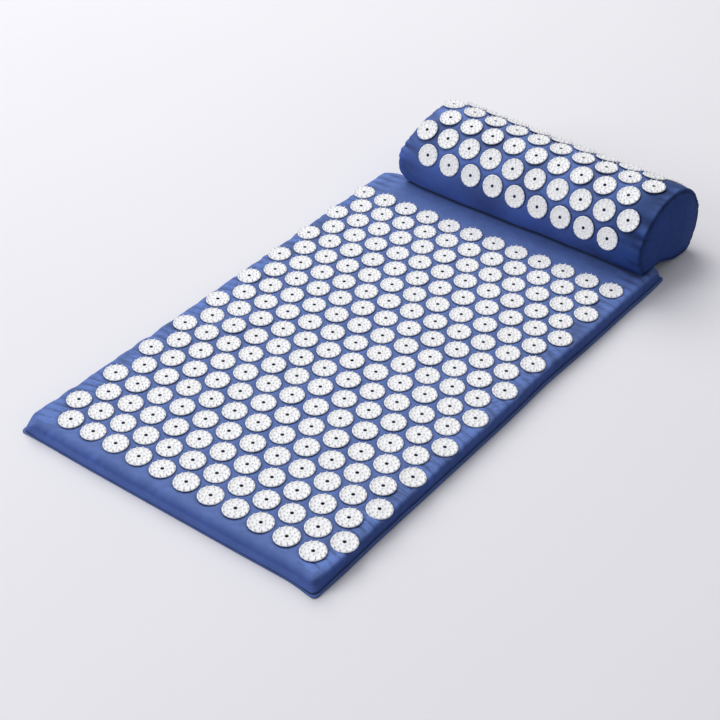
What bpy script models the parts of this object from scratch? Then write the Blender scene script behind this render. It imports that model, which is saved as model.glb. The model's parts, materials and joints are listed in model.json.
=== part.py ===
"""Acupressure mat with its loose neck pillow, as separate pieces. Blender 4.5, metres, +Z up.

The origin is the middle of the mat's underside. +Y runs to the head end, +X to the right hand.
"""

import math

import bmesh
import bpy
from mathutils import Euler, Matrix, Vector

# Cloth and fits
CLOTH = 0.0008
CLEARANCE = 0.0003
ZIP_TAPE = 0.0004

# Mat cover and foam
MAT_LENGTH = 0.660
MAT_WIDTH = 0.406
MAT_HEIGHT = 0.020
EDGE_SIDE_SKEW = 0.0073
SIDE_DRAW_IN = 0.0015
END_BOW_OUT = 0.0010
CORNER_REACH = 0.110
SHOULDER_RUN = 0.012
SHOULDER_CURVE_SHARE = 3.0
SEAM_HEIGHT = 0.0045
LIP_RUN = 0.006
LIP_SHARES = (0, 0.17, 0.5, 1)
SHOULDER_SHARES = (0, 0.15, 0.35, 0.6, 1)
FOAM_SHARES = (0, 0.25, 0.6, 1)
FOAM_SETBACK = 0.008

# Moulded discs
DISC_DIAMETER = 0.0285
DISC_RIM_DIAMETER = 0.0279
DISC_PLATE = 0.0018
SPIKE_HEIGHT = 0.0038
SPIKE_RING_DIAMETER = 0.0175
SPIKE_VALLEY_DIAMETER = 0.0145
DISC_PITCH = 0.033
DISC_SIDES = 8  # an even number: every second corner carries a spike
FILM = 0.0003
FLAT_FACING_SHARE = 0.9

# Disc rows on the mat: as many as fit between the margins
FOOT_MARGIN = 0.0305
HEAD_MARGIN = 0.080
SIDE_MARGIN = 0.006

# Pillow: its section is an ellipse with a flat base, and its lower half is the taller one
PILLOW_LENGTH = 0.360
PILLOW_HALF_DEPTH = 0.0705
PILLOW_WIDEST_HEIGHT = 0.038
PILLOW_CROWN = 0.0630
PILLOW_UNDERCUT = 0.064
PILLOW_END_TAPER_SHARE = 0.070
PILLOW_TAPER_RUN = 0.020
PILLOW_END_BULGE = 0.010
PILLOW_END_RING_SHARES = (1, 0.9, 0.6)
PILLOW_BACK_LIP = 0.016
PILLOW_LIP_SHARES = (0.5, 1)
PILLOW_ROWS = 7
PILLOW_SIDE_MARGIN = 0.016
WRAP_POINTS = 19
CORE_POINTS = 12
END_POINTS = 12

# Where the pillow lies: over the mat's head end, tilted and turned a little, as it was put down
PILLOW_OVERLAP = 0.0385
PILLOW_SHIFT = 0.0183
PILLOW_TILT = math.radians(6.5)
PILLOW_YAW = math.radians(-2.5)
PILLOW_SEAT_GAP = 0.0009
MAT_EDGE_REST = 0.0085
BRIDGE_REACH = 0.016

# Zips
MAT_ZIP_LENGTH = 0.300
PILLOW_ZIP_LENGTH = 0.240
ZIP_OPENING = 0.0082
TAPE_WIDTH = 0.0075
COIL_WIDTH = 0.0017
COIL_HEIGHT = 0.0016
STOP_LENGTH = 0.0030
SLIDER_LENGTH = 0.0090
SLIDER_WALL = 0.0009
BAR_DIAMETER = 0.0012
EYE_DIAMETER = 0.0034
PULL_LENGTH = 0.0180
PULL_WIDTH = 0.0036
PULL_THICKNESS = 0.0016
PULL_SLOT_SHARE = 0.45
ROD_SIDES = 12
CUT_OVERRUN = 0.002

# Angles of the modelling itself
SMOOTH_ANGLE = math.radians(40)
FLAT_ANGLE = math.radians(0.5)
WALK_ANGLE = math.radians(0.1)

# Row spacing of a pattern in which each disc lies between two of the next row
ROW_STEP = DISC_PITCH * math.sqrt(3) / 2
LINED_GAP = CLOTH + 2 * CLEARANCE + ZIP_TAPE
HEAD_SEAM = MAT_LENGTH / 2 + END_BOW_OUT
MAT_MIDDLE = Vector((0, 0, MAT_HEIGHT / 2))
PILLOW_MIDDLE = Vector((0, 0, PILLOW_WIDEST_HEIGHT))

PARTS = "acupressure_mat"
CUTTERS = "cutters"


def clear_scene():
    for item in list(bpy.data.objects):
        bpy.data.objects.remove(item, do_unlink=True)


def make_collection(name):
    collection = bpy.data.collections.new(name)
    bpy.context.scene.collection.children.link(collection)
    return collection


def make_material(name, color, roughness, metallic=0.0):
    material = bpy.data.materials.new(name)
    material.use_nodes = True
    shader = material.node_tree.nodes["Principled BSDF"]
    shader.inputs["Base Color"].default_value = (*color, 1.0)
    shader.inputs["Roughness"].default_value = roughness
    shader.inputs["Metallic"].default_value = metallic
    material.diffuse_color = (*color, 1.0)
    return material


def make_empty(name, parent=None, matrix=None):
    empty = bpy.data.objects.new(name, None)
    bpy.data.collections[PARTS].objects.link(empty)
    empty.empty_display_size = DISC_PITCH
    empty.parent = parent
    if matrix is not None:
        empty.matrix_local = matrix
    return empty


def make_object(name, bm, material, parent=None, location=(0, 0, 0), rotation=(0, 0, 0)):
    """Turn a bmesh into a named object with its own copy of a material."""
    mesh = bpy.data.meshes.new(name)
    bm.to_mesh(mesh)
    bm.free()
    item = bpy.data.objects.new(name, mesh)
    bpy.data.collections[PARTS].objects.link(item)
    item.parent = parent
    item.location = location
    item.rotation_euler = rotation
    own = material.copy()
    own.name = name + "_" + material.name
    mesh.materials.append(own)
    return item


def look_away(bm, middle):
    """Turn the faces of an open surface so that they look away from a point behind it."""
    bmesh.ops.recalc_face_normals(bm, faces=bm.faces)
    facing = sum((f.calc_center_median() - middle).dot(f.normal) * f.calc_area() for f in bm.faces)
    if facing < 0:
        bmesh.ops.reverse_faces(bm, faces=bm.faces)


def solidify(item, thickness, offset):
    """Give an open surface its wall: offset -1 puts it under the faces, 1 on top of them."""
    wall = item.modifiers.new("wall", "SOLIDIFY")
    wall.thickness = thickness
    wall.offset = offset
    wall.use_even_offset = True


def boolean(item, other, operation):
    """Cut or join with another object, which then counts as a cutter."""
    for collection in list(other.users_collection):
        collection.objects.unlink(other)
    bpy.data.collections[CUTTERS].objects.link(other)
    other.hide_render = True
    other.display_type = "WIRE"
    step = item.modifiers.new(other.name, "BOOLEAN")
    step.operation = operation
    step.object = other
    step.solver = "EXACT"


def box(name, size, centre, material, parent):
    bm = bmesh.new()
    place = Matrix.Translation(centre) @ Matrix.Diagonal((*size, 1.0))
    bmesh.ops.create_cube(bm, size=1.0, matrix=place)
    return make_object(name, bm, material, parent)


def rod(name, diameter, length, centre, material, parent):
    """A round bar that lies along the local Y axis."""
    bm = bmesh.new()
    place = Matrix.Translation(centre) @ Matrix.Rotation(math.pi / 2, 4, "X")
    bmesh.ops.create_cone(bm, cap_ends=True, segments=ROD_SIDES, radius1=diameter / 2,
                          radius2=diameter / 2, depth=length, matrix=place)
    item = make_object(name, bm, material, parent)
    item.data.shade_smooth()
    item.data.set_sharp_from_angle(angle=SMOOTH_ANGLE)
    return item


def grid_surface(columns, rows, point):
    """An open grid of quads whose corner (i, j) lies at point(i, j)."""
    bm = bmesh.new()
    bmesh.ops.create_grid(bm, x_segments=columns - 1, y_segments=rows - 1, size=1.0)
    for vert in bm.verts:
        i = round((vert.co.x + 1) / 2 * (columns - 1))
        j = round((vert.co.y + 1) / 2 * (rows - 1))
        vert.co = point(i, j)
    return bm


def make_cloth(name, bm, middle, cloth, parent=None, offset=-1):
    """An open surface of cloth, with its thickness on the inner side unless told otherwise."""
    look_away(bm, middle)
    item = make_object(name, bm, cloth, parent)
    item.data.shade_smooth()
    solidify(item, CLOTH, offset)


def ease(share):
    """Smooth step from 0 to 1."""
    share = min(max(share, 0.0), 1.0)
    return share * share * (3 - 2 * share)


# Mat

def side_outline(y):
    """Distance from the middle line to a long seam, which pulls in between the corners."""
    return MAT_WIDTH / 2 - SIDE_DRAW_IN * ease((MAT_LENGTH / 2 - abs(y)) / CORNER_REACH)


def end_outline(x):
    """Distance from the middle line to a short seam, which bows out between the corners."""
    return MAT_LENGTH / 2 + END_BOW_OUT * ease((MAT_WIDTH / 2 - abs(x)) / CORNER_REACH)


def drawn(value, half, edge):
    """Move a place on the plain rectangle out to where the drawn-in outline puts it."""
    if half - abs(value) <= SHOULDER_RUN:
        return math.copysign(edge - (half - abs(value)), value)
    return value * (edge - SHOULDER_RUN) / (half - SHOULDER_RUN)


def shoulder(inset):
    """Share of its full height that the top reaches at a distance in from the seam."""
    left = 1 - min(max(inset / SHOULDER_RUN, 0.0), 1.0)
    return 1 - left ** SHOULDER_CURVE_SHARE


def top_edge_height():
    """The top cloth ends over the turned-up base cloth, with a narrow groove between them."""
    return SEAM_HEIGHT + CLOTH + 2 * CLEARANCE


def cover_height(inset_x, inset_y):
    """Outer height of the top cloth: the product of the two slopes pinches the corners."""
    rise = MAT_HEIGHT - top_edge_height()
    return top_edge_height() + rise * shoulder(inset_x) * shoulder(inset_y)


def lip_height(inset):
    """Outer height of the base cloth, which turns up to the seam as a quarter round."""
    left = 1 - min(max(inset / LIP_RUN, 0.0), 1.0)
    return SEAM_HEIGHT * (1 - math.sqrt(1 - left * left))


def line_places(half, inset_shares, middle_count, extra=()):
    """Grid lines across one axis: close together over the shoulders, wide apart between."""
    insets = [share * SHOULDER_RUN for share in inset_shares]
    inner = half - SHOULDER_RUN
    middle = [inner * (2 * k / (middle_count + 1) - 1) for k in range(1, middle_count + 1)]
    places = [-(half - d) for d in insets] + middle + [half - d for d in insets]
    return sorted(places + list(extra))


def skewed(x, y):
    return x + EDGE_SIDE_SKEW * y / (MAT_LENGTH / 2)


def opening_run():
    """Distance in from the seam at which the zip's opening ends, measured up the slope."""
    run = 0.0
    length = 0.0
    step = SHOULDER_RUN * WALK_ANGLE
    while length < ZIP_OPENING:
        length += math.hypot(step, cover_height(run + step, MAT_LENGTH) - cover_height(run, MAT_LENGTH))
        run += step
    return run


def cover_top_point(places_x, places_y):
    half_x, half_y = MAT_WIDTH / 2, MAT_LENGTH / 2
    opening = opening_run()

    def point(i, j):
        plain_x, plain_y = places_x[i], places_y[j]
        inset_x, inset_y = half_x - abs(plain_x), half_y - abs(plain_y)
        x = drawn(plain_x, half_x, side_outline(plain_y))
        y = drawn(plain_y, half_y, end_outline(plain_x))
        if plain_x < 0 and inset_x < SHOULDER_RUN and abs(plain_y) <= MAT_ZIP_LENGTH / 2:
            shift = opening * (1 - inset_x / SHOULDER_RUN)
            x += shift
            inset_x += shift
        return Vector((skewed(x, y), y, cover_height(inset_x, inset_y)))

    return point


def make_cover_top(cloth):
    places_x = line_places(MAT_WIDTH / 2, SHOULDER_SHARES, 3)
    zip_end = MAT_ZIP_LENGTH / 2
    zip_lines = [side * (zip_end + k * STOP_LENGTH) for side in (-1, 1) for k in (0, 1)]
    places_y = line_places(MAT_LENGTH / 2, SHOULDER_SHARES, 3, zip_lines)
    point = cover_top_point(places_x, places_y)
    make_cloth("mat_cover_top", grid_surface(len(places_x), len(places_y), point), MAT_MIDDLE, cloth)


def make_cover_base(cloth):
    half_x, half_y = MAT_WIDTH / 2, MAT_LENGTH / 2
    insets = [share * LIP_RUN / SHOULDER_RUN for share in LIP_SHARES]
    places_x = line_places(half_x, insets, 2)
    places_y = line_places(half_y, insets, 4)

    def point(i, j):
        inset = min(half_x - abs(places_x[i]), half_y - abs(places_y[j]))
        x = drawn(places_x[i], half_x, side_outline(places_y[j]))
        y = drawn(places_y[j], half_y, end_outline(places_x[i]))
        return Vector((skewed(x, y), y, lip_height(inset)))

    make_cloth("mat_cover_base", grid_surface(len(places_x), len(places_y), point), MAT_MIDDLE, cloth)


def make_foam_slab(foam):
    """A slab whose top edges give way under the slope of the cover."""
    half_x = MAT_WIDTH / 2 - SIDE_DRAW_IN - FOAM_SETBACK
    half_y = MAT_LENGTH / 2 - FOAM_SETBACK
    setback = FOAM_SETBACK - 2 * LINED_GAP
    insets = [share * (1 - setback / SHOULDER_RUN) for share in FOAM_SHARES]
    places_x = line_places(half_x, insets, 0)
    places_y = line_places(half_y, insets, 0)

    def point(i, j):
        inset_x = half_x - abs(places_x[i]) + setback
        inset_y = half_y - abs(places_y[j]) + setback
        z = cover_height(inset_x, inset_y) - CLOTH - CLEARANCE
        return Vector((skewed(places_x[i], places_y[j]), places_y[j], z))

    bm = grid_surface(len(places_x), len(places_y), point)
    grown = bmesh.ops.extrude_face_region(bm, geom=bm.faces[:])
    for vert in grown["geom"]:
        if isinstance(vert, bmesh.types.BMVert):
            vert.co.z = CLOTH + CLEARANCE
    bmesh.ops.dissolve_limit(bm, angle_limit=FLAT_ANGLE, verts=bm.verts, edges=bm.edges)
    bmesh.ops.recalc_face_normals(bm, faces=bm.faces)
    make_object("mat_foam_slab", bm, foam)


# Discs

def discs_across(width, margin):
    """How many discs a full row has. The rows between have one fewer, half a pitch along."""
    return int((width - 2 * margin - DISC_DIAMETER) / DISC_PITCH) + 1


def raise_spikes(bm, plate, centre):
    """Every second corner of an inset ring on a plate becomes a spike, between flat valleys."""
    top = max(plate, key=lambda face: face.calc_center_median().z)
    thickness = (DISC_RIM_DIAMETER - SPIKE_VALLEY_DIAMETER) / 2 * math.cos(math.pi / DISC_SIDES)
    inset = bmesh.ops.inset_region(bm, faces=[top], thickness=thickness, use_even_offset=True)
    ring = list(top.verts)
    valleys = ring[1::2]
    bmesh.ops.connect_verts(bm, verts=valleys)
    grow = SPIKE_RING_DIAMETER / SPIKE_VALLEY_DIAMETER
    for vert in ring[0::2]:
        out = Vector((vert.co.x - centre.x, vert.co.y - centre.y, 0))
        vert.co += out * (grow - 1) + Vector((0, 0, SPIKE_HEIGHT))
    for face in inset["faces"]:
        tip = next(vert for vert in face.verts if vert in ring[0::2])
        opposite = [vert for vert in face.verts if not any(tip in edge.verts for edge in vert.link_edges)]
        others = [vert for vert in face.verts if vert != tip and vert not in opposite]
        bmesh.ops.connect_verts(bm, verts=others)


def disc_row_bmesh(count):
    """Spiked discs along X, linked on the cloth by a film as wide as a disc's flat."""
    bm = bmesh.new()
    turn = Matrix.Rotation(math.pi / DISC_SIDES, 4, "Z")
    for k in range(count):
        centre = Vector(((k - (count - 1) / 2) * DISC_PITCH, 0, DISC_PLATE / 2))
        plate = bmesh.ops.create_cone(bm, cap_ends=True, segments=DISC_SIDES, radius1=DISC_DIAMETER / 2,
                                      radius2=DISC_RIM_DIAMETER / 2, depth=DISC_PLATE,
                                      matrix=Matrix.Translation(centre) @ turn)
        raise_spikes(bm, {face for vert in plate["verts"] for face in vert.link_faces}, centre)
    bm.normal_update()
    reach = (count - 1) / 2 * DISC_PITCH
    facing = [f for f in bm.faces
              if abs(f.normal.x) > FLAT_FACING_SHARE and abs(f.calc_center_median().x) < reach]
    edges = {edge for face in facing for edge in face.edges}
    verts = {vert for face in facing for vert in face.verts}
    bmesh.ops.bisect_plane(bm, geom=facing + list(edges) + list(verts),
                           plane_co=(0, 0, FILM), plane_no=(0, 0, 1))
    bm.normal_update()
    flats = [f for f in bm.faces
             if abs(f.normal.x) > FLAT_FACING_SHARE and f.calc_center_median().z < FILM]
    flats.sort(key=lambda f: f.calc_center_median().x)
    pairs = [(list(a.edges), list(b.edges)) for a, b in zip(flats[0::2], flats[1::2])]
    bmesh.ops.delete(bm, geom=flats, context="FACES_ONLY")
    for near, far in pairs:
        bmesh.ops.bridge_loops(bm, edges=near + far)
    bmesh.ops.recalc_face_normals(bm, faces=bm.faces)
    return bm


def make_mat_rows(plastic):
    full = discs_across(MAT_WIDTH, SIDE_MARGIN)
    rows = int((MAT_LENGTH - FOOT_MARGIN - HEAD_MARGIN) / ROW_STEP) + 1
    for row in range(rows):
        count = full - 1 + row % 2
        y = FOOT_MARGIN + row * ROW_STEP - MAT_LENGTH / 2
        make_object("mat_disc_row_%02d" % (row + 1), disc_row_bmesh(count), plastic,
                    location=(0, y, MAT_HEIGHT + CLEARANCE))


# Pillow

def taper(x):
    """The cover is gathered in a little towards its end seams."""
    run = abs(x) - (PILLOW_LENGTH / 2 - PILLOW_TAPER_RUN)
    return 1 - PILLOW_END_TAPER_SHARE * ease(run / PILLOW_TAPER_RUN)


def section_point(angle, x, inset=0.0):
    """A point of the outer section: angle 0 is the widest place at the back, 90 degrees the top."""
    scale = taper(x)
    height = PILLOW_CROWN if angle > 0 else PILLOW_UNDERCUT
    u = (PILLOW_HALF_DEPTH * scale - inset) * math.cos(angle)
    w = PILLOW_WIDEST_HEIGHT + (height * scale - inset) * math.sin(angle)
    return u, w


def section_angle(w, x, inset=0.0):
    """The angle below the widest place at which the section has height w."""
    drop = (w - PILLOW_WIDEST_HEIGHT) / (PILLOW_UNDERCUT * taper(x) - inset)
    return math.asin(max(drop, -1.0))


def base_half_depth():
    return section_point(section_angle(0.0, 0.0), 0.0)[0]


def pillow_matrix():
    """The flat base slopes from the mat's head end down to the floor at the back."""
    half = base_half_depth()
    front_y = MAT_LENGTH / 2 - PILLOW_OVERLAP
    centre = Vector((PILLOW_SHIFT, front_y + half * math.cos(PILLOW_TILT),
                     half * math.sin(PILLOW_TILT) + CLEARANCE))
    return Matrix.Translation(centre) @ Euler((-PILLOW_TILT, 0, PILLOW_YAW)).to_matrix().to_4x4()


def head_inset(x, u):
    """How far a point of the pillow's base lies in over the mat from the head seam."""
    place = pillow_matrix() @ Vector((x, u, 0))
    return HEAD_SEAM - place.y


def lift_to_mat(x, u):
    """How far the base has to give way at a place that rests on the mat's flat top."""
    need = MAT_HEIGHT + PILLOW_SEAT_GAP - (pillow_matrix() @ Vector((x, u, 0))).z
    return max(0.0, need / math.cos(PILLOW_TILT))


def underside(x, u):
    """The base lies on the mat's top, and bridges from the mat's edge to its own flat plane."""
    inset = head_inset(x, u)
    if inset > MAT_EDGE_REST:
        return lift_to_mat(x, u)
    share = (inset + BRIDGE_REACH) / (MAT_EDGE_REST + BRIDGE_REACH)
    return max(0.0, share) * lift_to_mat(x, seat_u(x, MAT_EDGE_REST))


def seat_u(x, inset):
    """The place on the base at a distance in over the mat from the head seam."""
    place = pillow_matrix() @ Vector((x, 0, 0))
    slope = math.cos(PILLOW_YAW) * math.cos(PILLOW_TILT)
    return (HEAD_SEAM - inset - place.y) / slope


def front_corner(x):
    """Depth of the section's front edge, at the height to which the mat lifts it there."""
    u = -base_half_depth() * taper(x)
    for _ in range(4):
        u = -section_point(section_angle(underside(x, u), x), x)[0]
    return u


def base_section(x, offset, inset=0.0):
    """Points of the base from the front edge to the back corner, raised by a cloth's offset."""
    front = front_corner(x) + inset
    back = base_half_depth() * taper(x) - inset
    places = [front, seat_u(x, MAT_EDGE_REST), seat_u(x, -BRIDGE_REACH), back]
    points = []
    for u in places:
        lift = underside(x, u)
        slope = (underside(x, u + CLOTH) - underside(x, u - CLOTH)) / (2 * CLOTH)
        bend = offset if lift > 0 else 0.0
        points.append((u, lift + offset * math.hypot(1, slope) + bend))
    return points


def pillow_stations(half):
    run = PILLOW_TAPER_RUN
    return [-half, -half + run / 2, -half + run, -half / 2, 0, half / 2, half - run,
            half - run / 2, half]


def upper_angles(x, inset, front_height, back_height, count):
    """Angles from the front edge, over the crown, to the back edge of the wrap."""
    start = math.pi - section_angle(front_height, x, inset)
    end = section_angle(back_height, x, inset)
    return [start + (end - start) * k / (count - 1) for k in range(count)]


def front_edge_height(x):
    return base_section(x, CLOTH + CLEARANCE)[0][1]


def zip_face():
    """Ends of the zip's opening on the back of the pillow, as (u, w), lower one first."""
    low = section_point(section_angle(PILLOW_BACK_LIP, 0.0), 0.0)
    angle = section_angle(PILLOW_BACK_LIP, 0.0)
    while math.dist(low, section_point(angle, 0.0)) < ZIP_OPENING:
        angle += WALK_ANGLE
    return low, section_point(angle, 0.0)


def make_wrap(cloth, pillow):
    half = PILLOW_LENGTH / 2
    zip_end = PILLOW_ZIP_LENGTH / 2
    stations = pillow_stations(half)
    stations += [side * (zip_end + k * STOP_LENGTH) for side in (-1, 1) for k in (0, 1)]
    stations.sort()
    top_of_zip = zip_face()[1][1]

    def point(i, j):
        x = stations[i]
        back = top_of_zip if abs(x) <= zip_end else PILLOW_BACK_LIP + CLOTH + CLEARANCE
        angle = upper_angles(x, 0.0, front_edge_height(x), back, WRAP_POINTS)[j]
        return Vector((x, *section_point(angle, x)))

    bm = grid_surface(len(stations), WRAP_POINTS, point)
    make_cloth("pillow_cover_wrap", bm, PILLOW_MIDDLE, cloth, pillow)


def make_pillow_base(cloth, pillow):
    half = PILLOW_LENGTH / 2
    run = PILLOW_TAPER_RUN
    stations = [-half, -half + run, -half / 2, 0, half / 2, half - run, half]
    rows = len(base_section(0.0, 0.0)) + len(PILLOW_LIP_SHARES)

    def point(i, j):
        x = stations[i]
        points = base_section(x, 0.0)
        for share in PILLOW_LIP_SHARES:
            points.append(section_point(section_angle(share * PILLOW_BACK_LIP, x), x))
        return Vector((x, *points[j]))

    bm = grid_surface(len(stations), rows, point)
    make_cloth("pillow_cover_base", bm, PILLOW_MIDDLE, cloth, pillow)


def closed_section(x, inset, offset, count):
    """Closed outline at a station: over the top from front to back, then forward along the base."""
    base = base_section(x, offset, inset)
    angles = upper_angles(x, inset, base[0][1], base[-1][1], count)
    return [section_point(angle, x, inset) for angle in angles] + base[-2:0:-1]


def fill_between(bm, rings):
    """Join rings of equal length, one after the other, with quads."""
    for near, far in zip(rings, rings[1:]):
        for k in range(len(near)):
            after = (k + 1) % len(near)
            bm.faces.new((near[k], near[after], far[after], far[k]))


def make_pillow_core(foam, pillow):
    half = PILLOW_LENGTH / 2 - CLOTH - CLEARANCE
    bm = bmesh.new()
    rings = []
    for x in (-half, -half + PILLOW_TAPER_RUN, 0, half - PILLOW_TAPER_RUN, half):
        section = closed_section(x, LINED_GAP + CLOTH, CLOTH + CLEARANCE, CORE_POINTS)
        rings.append([bm.verts.new((x, *point)) for point in section])
    fill_between(bm, rings)
    bm.faces.new(rings[0])
    bm.faces.new(rings[-1])
    bmesh.ops.recalc_face_normals(bm, faces=bm.faces)
    make_object("pillow_foam_core", bm, foam, pillow)


def make_pillow_end(name, side, cloth, pillow):
    """An end panel bulges out a little, like a drum's skin over the foam."""
    x = side * PILLOW_LENGTH / 2
    outline_points = [Vector(p) for p in closed_section(x, 0.0, 0.0, END_POINTS)]
    middle = sum(outline_points, Vector((0, 0))) / len(outline_points)
    bm = bmesh.new()
    rings = []
    for share in PILLOW_END_RING_SHARES:
        out = side * (CLEARANCE + PILLOW_END_BULGE * (1 - share * share))
        places = [middle + (p - middle) * share for p in outline_points]
        rings.append([bm.verts.new((x + out, *p)) for p in places])
    fill_between(bm, rings)
    tip = bm.verts.new((x + side * (CLEARANCE + PILLOW_END_BULGE), *middle))
    inner = rings[-1]
    for k, vert in enumerate(inner):
        bm.faces.new((vert, inner[(k + 1) % len(inner)], tip))
    make_cloth(name, bm, PILLOW_MIDDLE, cloth, pillow, 1)


def make_pillow_rows(plastic, pillow):
    """Rows lie the same distance apart on the cloth, the middle one along the crown."""
    full = discs_across(PILLOW_LENGTH, PILLOW_SIDE_MARGIN)
    middle = PILLOW_ROWS // 2
    for row in range(PILLOW_ROWS):
        angle = crown_angle((row - middle) * ROW_STEP)
        u, w = section_point(angle, 0.0)
        height = PILLOW_CROWN if angle > 0 else PILLOW_UNDERCUT
        tilt = math.atan2(-height * math.cos(angle), PILLOW_HALF_DEPTH * math.sin(angle))
        normal = Vector((0, -math.sin(tilt), math.cos(tilt)))
        count = full - 1 + row % 2
        make_object("pillow_disc_row_%d" % (row + 1), disc_row_bmesh(count), plastic, pillow,
                    Vector((0, u, w)) + normal * CLEARANCE, (tilt, 0, 0))


def crown_angle(along):
    """Angle on the section at a distance along the cloth from the crown, minus towards the front."""
    step = math.copysign(WALK_ANGLE, -along)
    angle = math.pi / 2
    walked = 0.0
    last = section_point(angle, 0.0)
    while walked < abs(along):
        angle += step
        here = section_point(angle, 0.0)
        walked += math.dist(last, here)
        last = here
    return angle


# Zips. In a zip's own frame X runs along it, Y across it up the cloth, and Z out of the cloth.

def zip_frame(name, start, along, across, parent=None):
    out = along.cross(across)
    turn = Matrix((along, across, out)).transposed().to_4x4()
    return make_empty(name, parent, Matrix.Translation(start) @ turn)


def tape(name, profile, length, fabric, frame):
    """A strip of tape whose section follows the cloth that it is sewn to."""
    bm = grid_surface(2, len(profile), lambda i, j: Vector(((i - 0.5) * length, *profile[j])))
    item = make_object(name, bm, fabric, frame)
    wall = item.modifiers.new("wall", "SOLIDIFY")
    wall.thickness = ZIP_TAPE
    wall.offset = 0
    wall.use_even_offset = True


def make_slider(name, frame, place, metal, parent_name):
    """A slider that straddles both coils, with a bar across two ears for the pull."""
    runner = make_empty(parent_name, frame, Matrix.Translation((place, 0, 0)))
    channel = COIL_WIDTH + 2 * CLEARANCE
    low = -COIL_HEIGHT / 2
    ceiling = COIL_HEIGHT / 2 + CLEARANCE
    top = ceiling + SLIDER_WALL
    width = 2 * (channel + SLIDER_WALL)
    body = box(name, (SLIDER_LENGTH, width, top - low), (0, 0, (top + low) / 2), metal, runner)
    cut = box(name + "_channel", (SLIDER_LENGTH + CUT_OVERRUN, 2 * channel, ceiling - low + CUT_OVERRUN),
              (0, 0, ceiling - (ceiling - low + CUT_OVERRUN) / 2), metal, runner)
    boolean(body, cut, "DIFFERENCE")
    bar_height = top + CLEARANCE + EYE_DIAMETER / 2
    ear_top = bar_height + BAR_DIAMETER
    ear_y = PULL_WIDTH / 2 + CLEARANCE + SLIDER_WALL / 2
    for side, tag in ((-1, "_ear_low"), (1, "_ear_high")):
        ear = box(name + tag, (EYE_DIAMETER, SLIDER_WALL, ear_top - ceiling),
                  (0, side * ear_y, (ear_top + ceiling) / 2), metal, runner)
        boolean(body, ear, "UNION")
    bar = rod(name + "_bar", BAR_DIAMETER, 2 * ear_y, (0, 0, bar_height), metal, runner)
    boolean(body, bar, "UNION")
    return runner, bar_height


def make_pull(name, runner, bar_height, metal, pivot_name):
    """The pull lies along the zip and turns on the slider's bar."""
    pivot = make_empty(pivot_name, runner, Matrix.Translation((0, 0, bar_height)))
    blade = box(name, (PULL_LENGTH, PULL_WIDTH, PULL_THICKNESS), (PULL_LENGTH / 2, 0, 0), metal, pivot)
    eye = rod(name + "_eye", EYE_DIAMETER, PULL_WIDTH, (0, 0, 0), metal, pivot)
    hole = rod(name + "_hole", BAR_DIAMETER + 2 * CLEARANCE, PULL_WIDTH + CUT_OVERRUN, (0, 0, 0),
               metal, pivot)
    slot_length = PULL_LENGTH * PULL_SLOT_SHARE
    slot_width = PULL_WIDTH * PULL_SLOT_SHARE
    slot = box(name + "_slot", (slot_length, slot_width, PULL_THICKNESS + CUT_OVERRUN),
               (PULL_LENGTH - slot_width - slot_length / 2, 0, 0), metal, pivot)
    boolean(blade, eye, "UNION")
    boolean(blade, hole, "DIFFERENCE")
    boolean(blade, slot, "DIFFERENCE")


def make_zip(prefix, frame, length, high_profile, low_profile, fabric, plastic, metal):
    """Tapes under the cloth, two coils side by side, stops past their ends and the slider."""
    tape(prefix + "_zip_tape_high", high_profile, length, fabric, frame)
    tape(prefix + "_zip_tape_low", low_profile, length, fabric, frame)
    coil_length = length - 2 * (STOP_LENGTH + CLEARANCE)
    coil_y = (CLEARANCE + COIL_WIDTH) / 2
    for side, tag in ((1, "_zip_coil_high"), (-1, "_zip_coil_low")):
        box(prefix + tag, (coil_length, COIL_WIDTH, COIL_HEIGHT), (0, side * coil_y, 0), plastic, frame)
    stop_x = (length - STOP_LENGTH) / 2
    stop_size = (STOP_LENGTH, 2 * COIL_WIDTH + CLEARANCE, COIL_HEIGHT + SLIDER_WALL)
    for side, tag in ((-1, "_zip_stop_closed"), (1, "_zip_stop_open")):
        box(prefix + tag, stop_size, (side * stop_x, 0, SLIDER_WALL / 2), metal, frame)
    closed = (SLIDER_LENGTH - coil_length) / 2
    runner, bar_height = make_slider(prefix + "_zip_slider", frame, closed, metal,
                                     prefix + "_zip_slider_runner")
    make_pull(prefix + "_zip_pull", runner, bar_height, metal, prefix + "_zip_pull_pivot")


def tape_depth():
    """Depth of the middle of a tape under the outer face of the cloth over it."""
    return CLOTH + CLEARANCE + ZIP_TAPE / 2


def in_frame(points, start, across, out):
    """Profile points given in a plane, as (across, out) from the zip's middle line."""
    return [((p - start).dot(across), (p - start).dot(out)) for p in points]


def under(points, depth):
    """Points of a profile moved in under its surface, which lies to the left of its direction."""
    moved = []
    for k, here in enumerate(points):
        before, after = points[max(k - 1, 0)], points[min(k + 1, len(points) - 1)]
        first, last = (here - before).normalized(), (after - here).normalized()
        along = (first + last).normalized()
        mitre = depth / along.dot(first if k else last)
        moved.append(here + Vector((along.y, -along.x)) * mitre)
    return moved


def stretch(points, start, end):
    """The part of a path between two distances along it."""
    kept = []
    walked = 0.0
    for here, there in zip(points, points[1:]):
        length = (there - here).length
        for mark in (start, end):
            if walked <= mark < walked + length:
                kept.append(here.lerp(there, (mark - walked) / length))
        walked += length
        if start < walked < end:
            kept.append(there)
    return kept


def tape_profiles(face, middle_index, middle, across, out):
    """Both tapes run out from the zip's middle, under the cloth on either side of the opening."""
    path = under(face, tape_depth())
    halves = (path[middle_index:], path[middle_index::-1])
    return [in_frame(stretch(half, CLEARANCE / 2, TAPE_WIDTH), middle, across, out) for half in halves]


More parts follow.
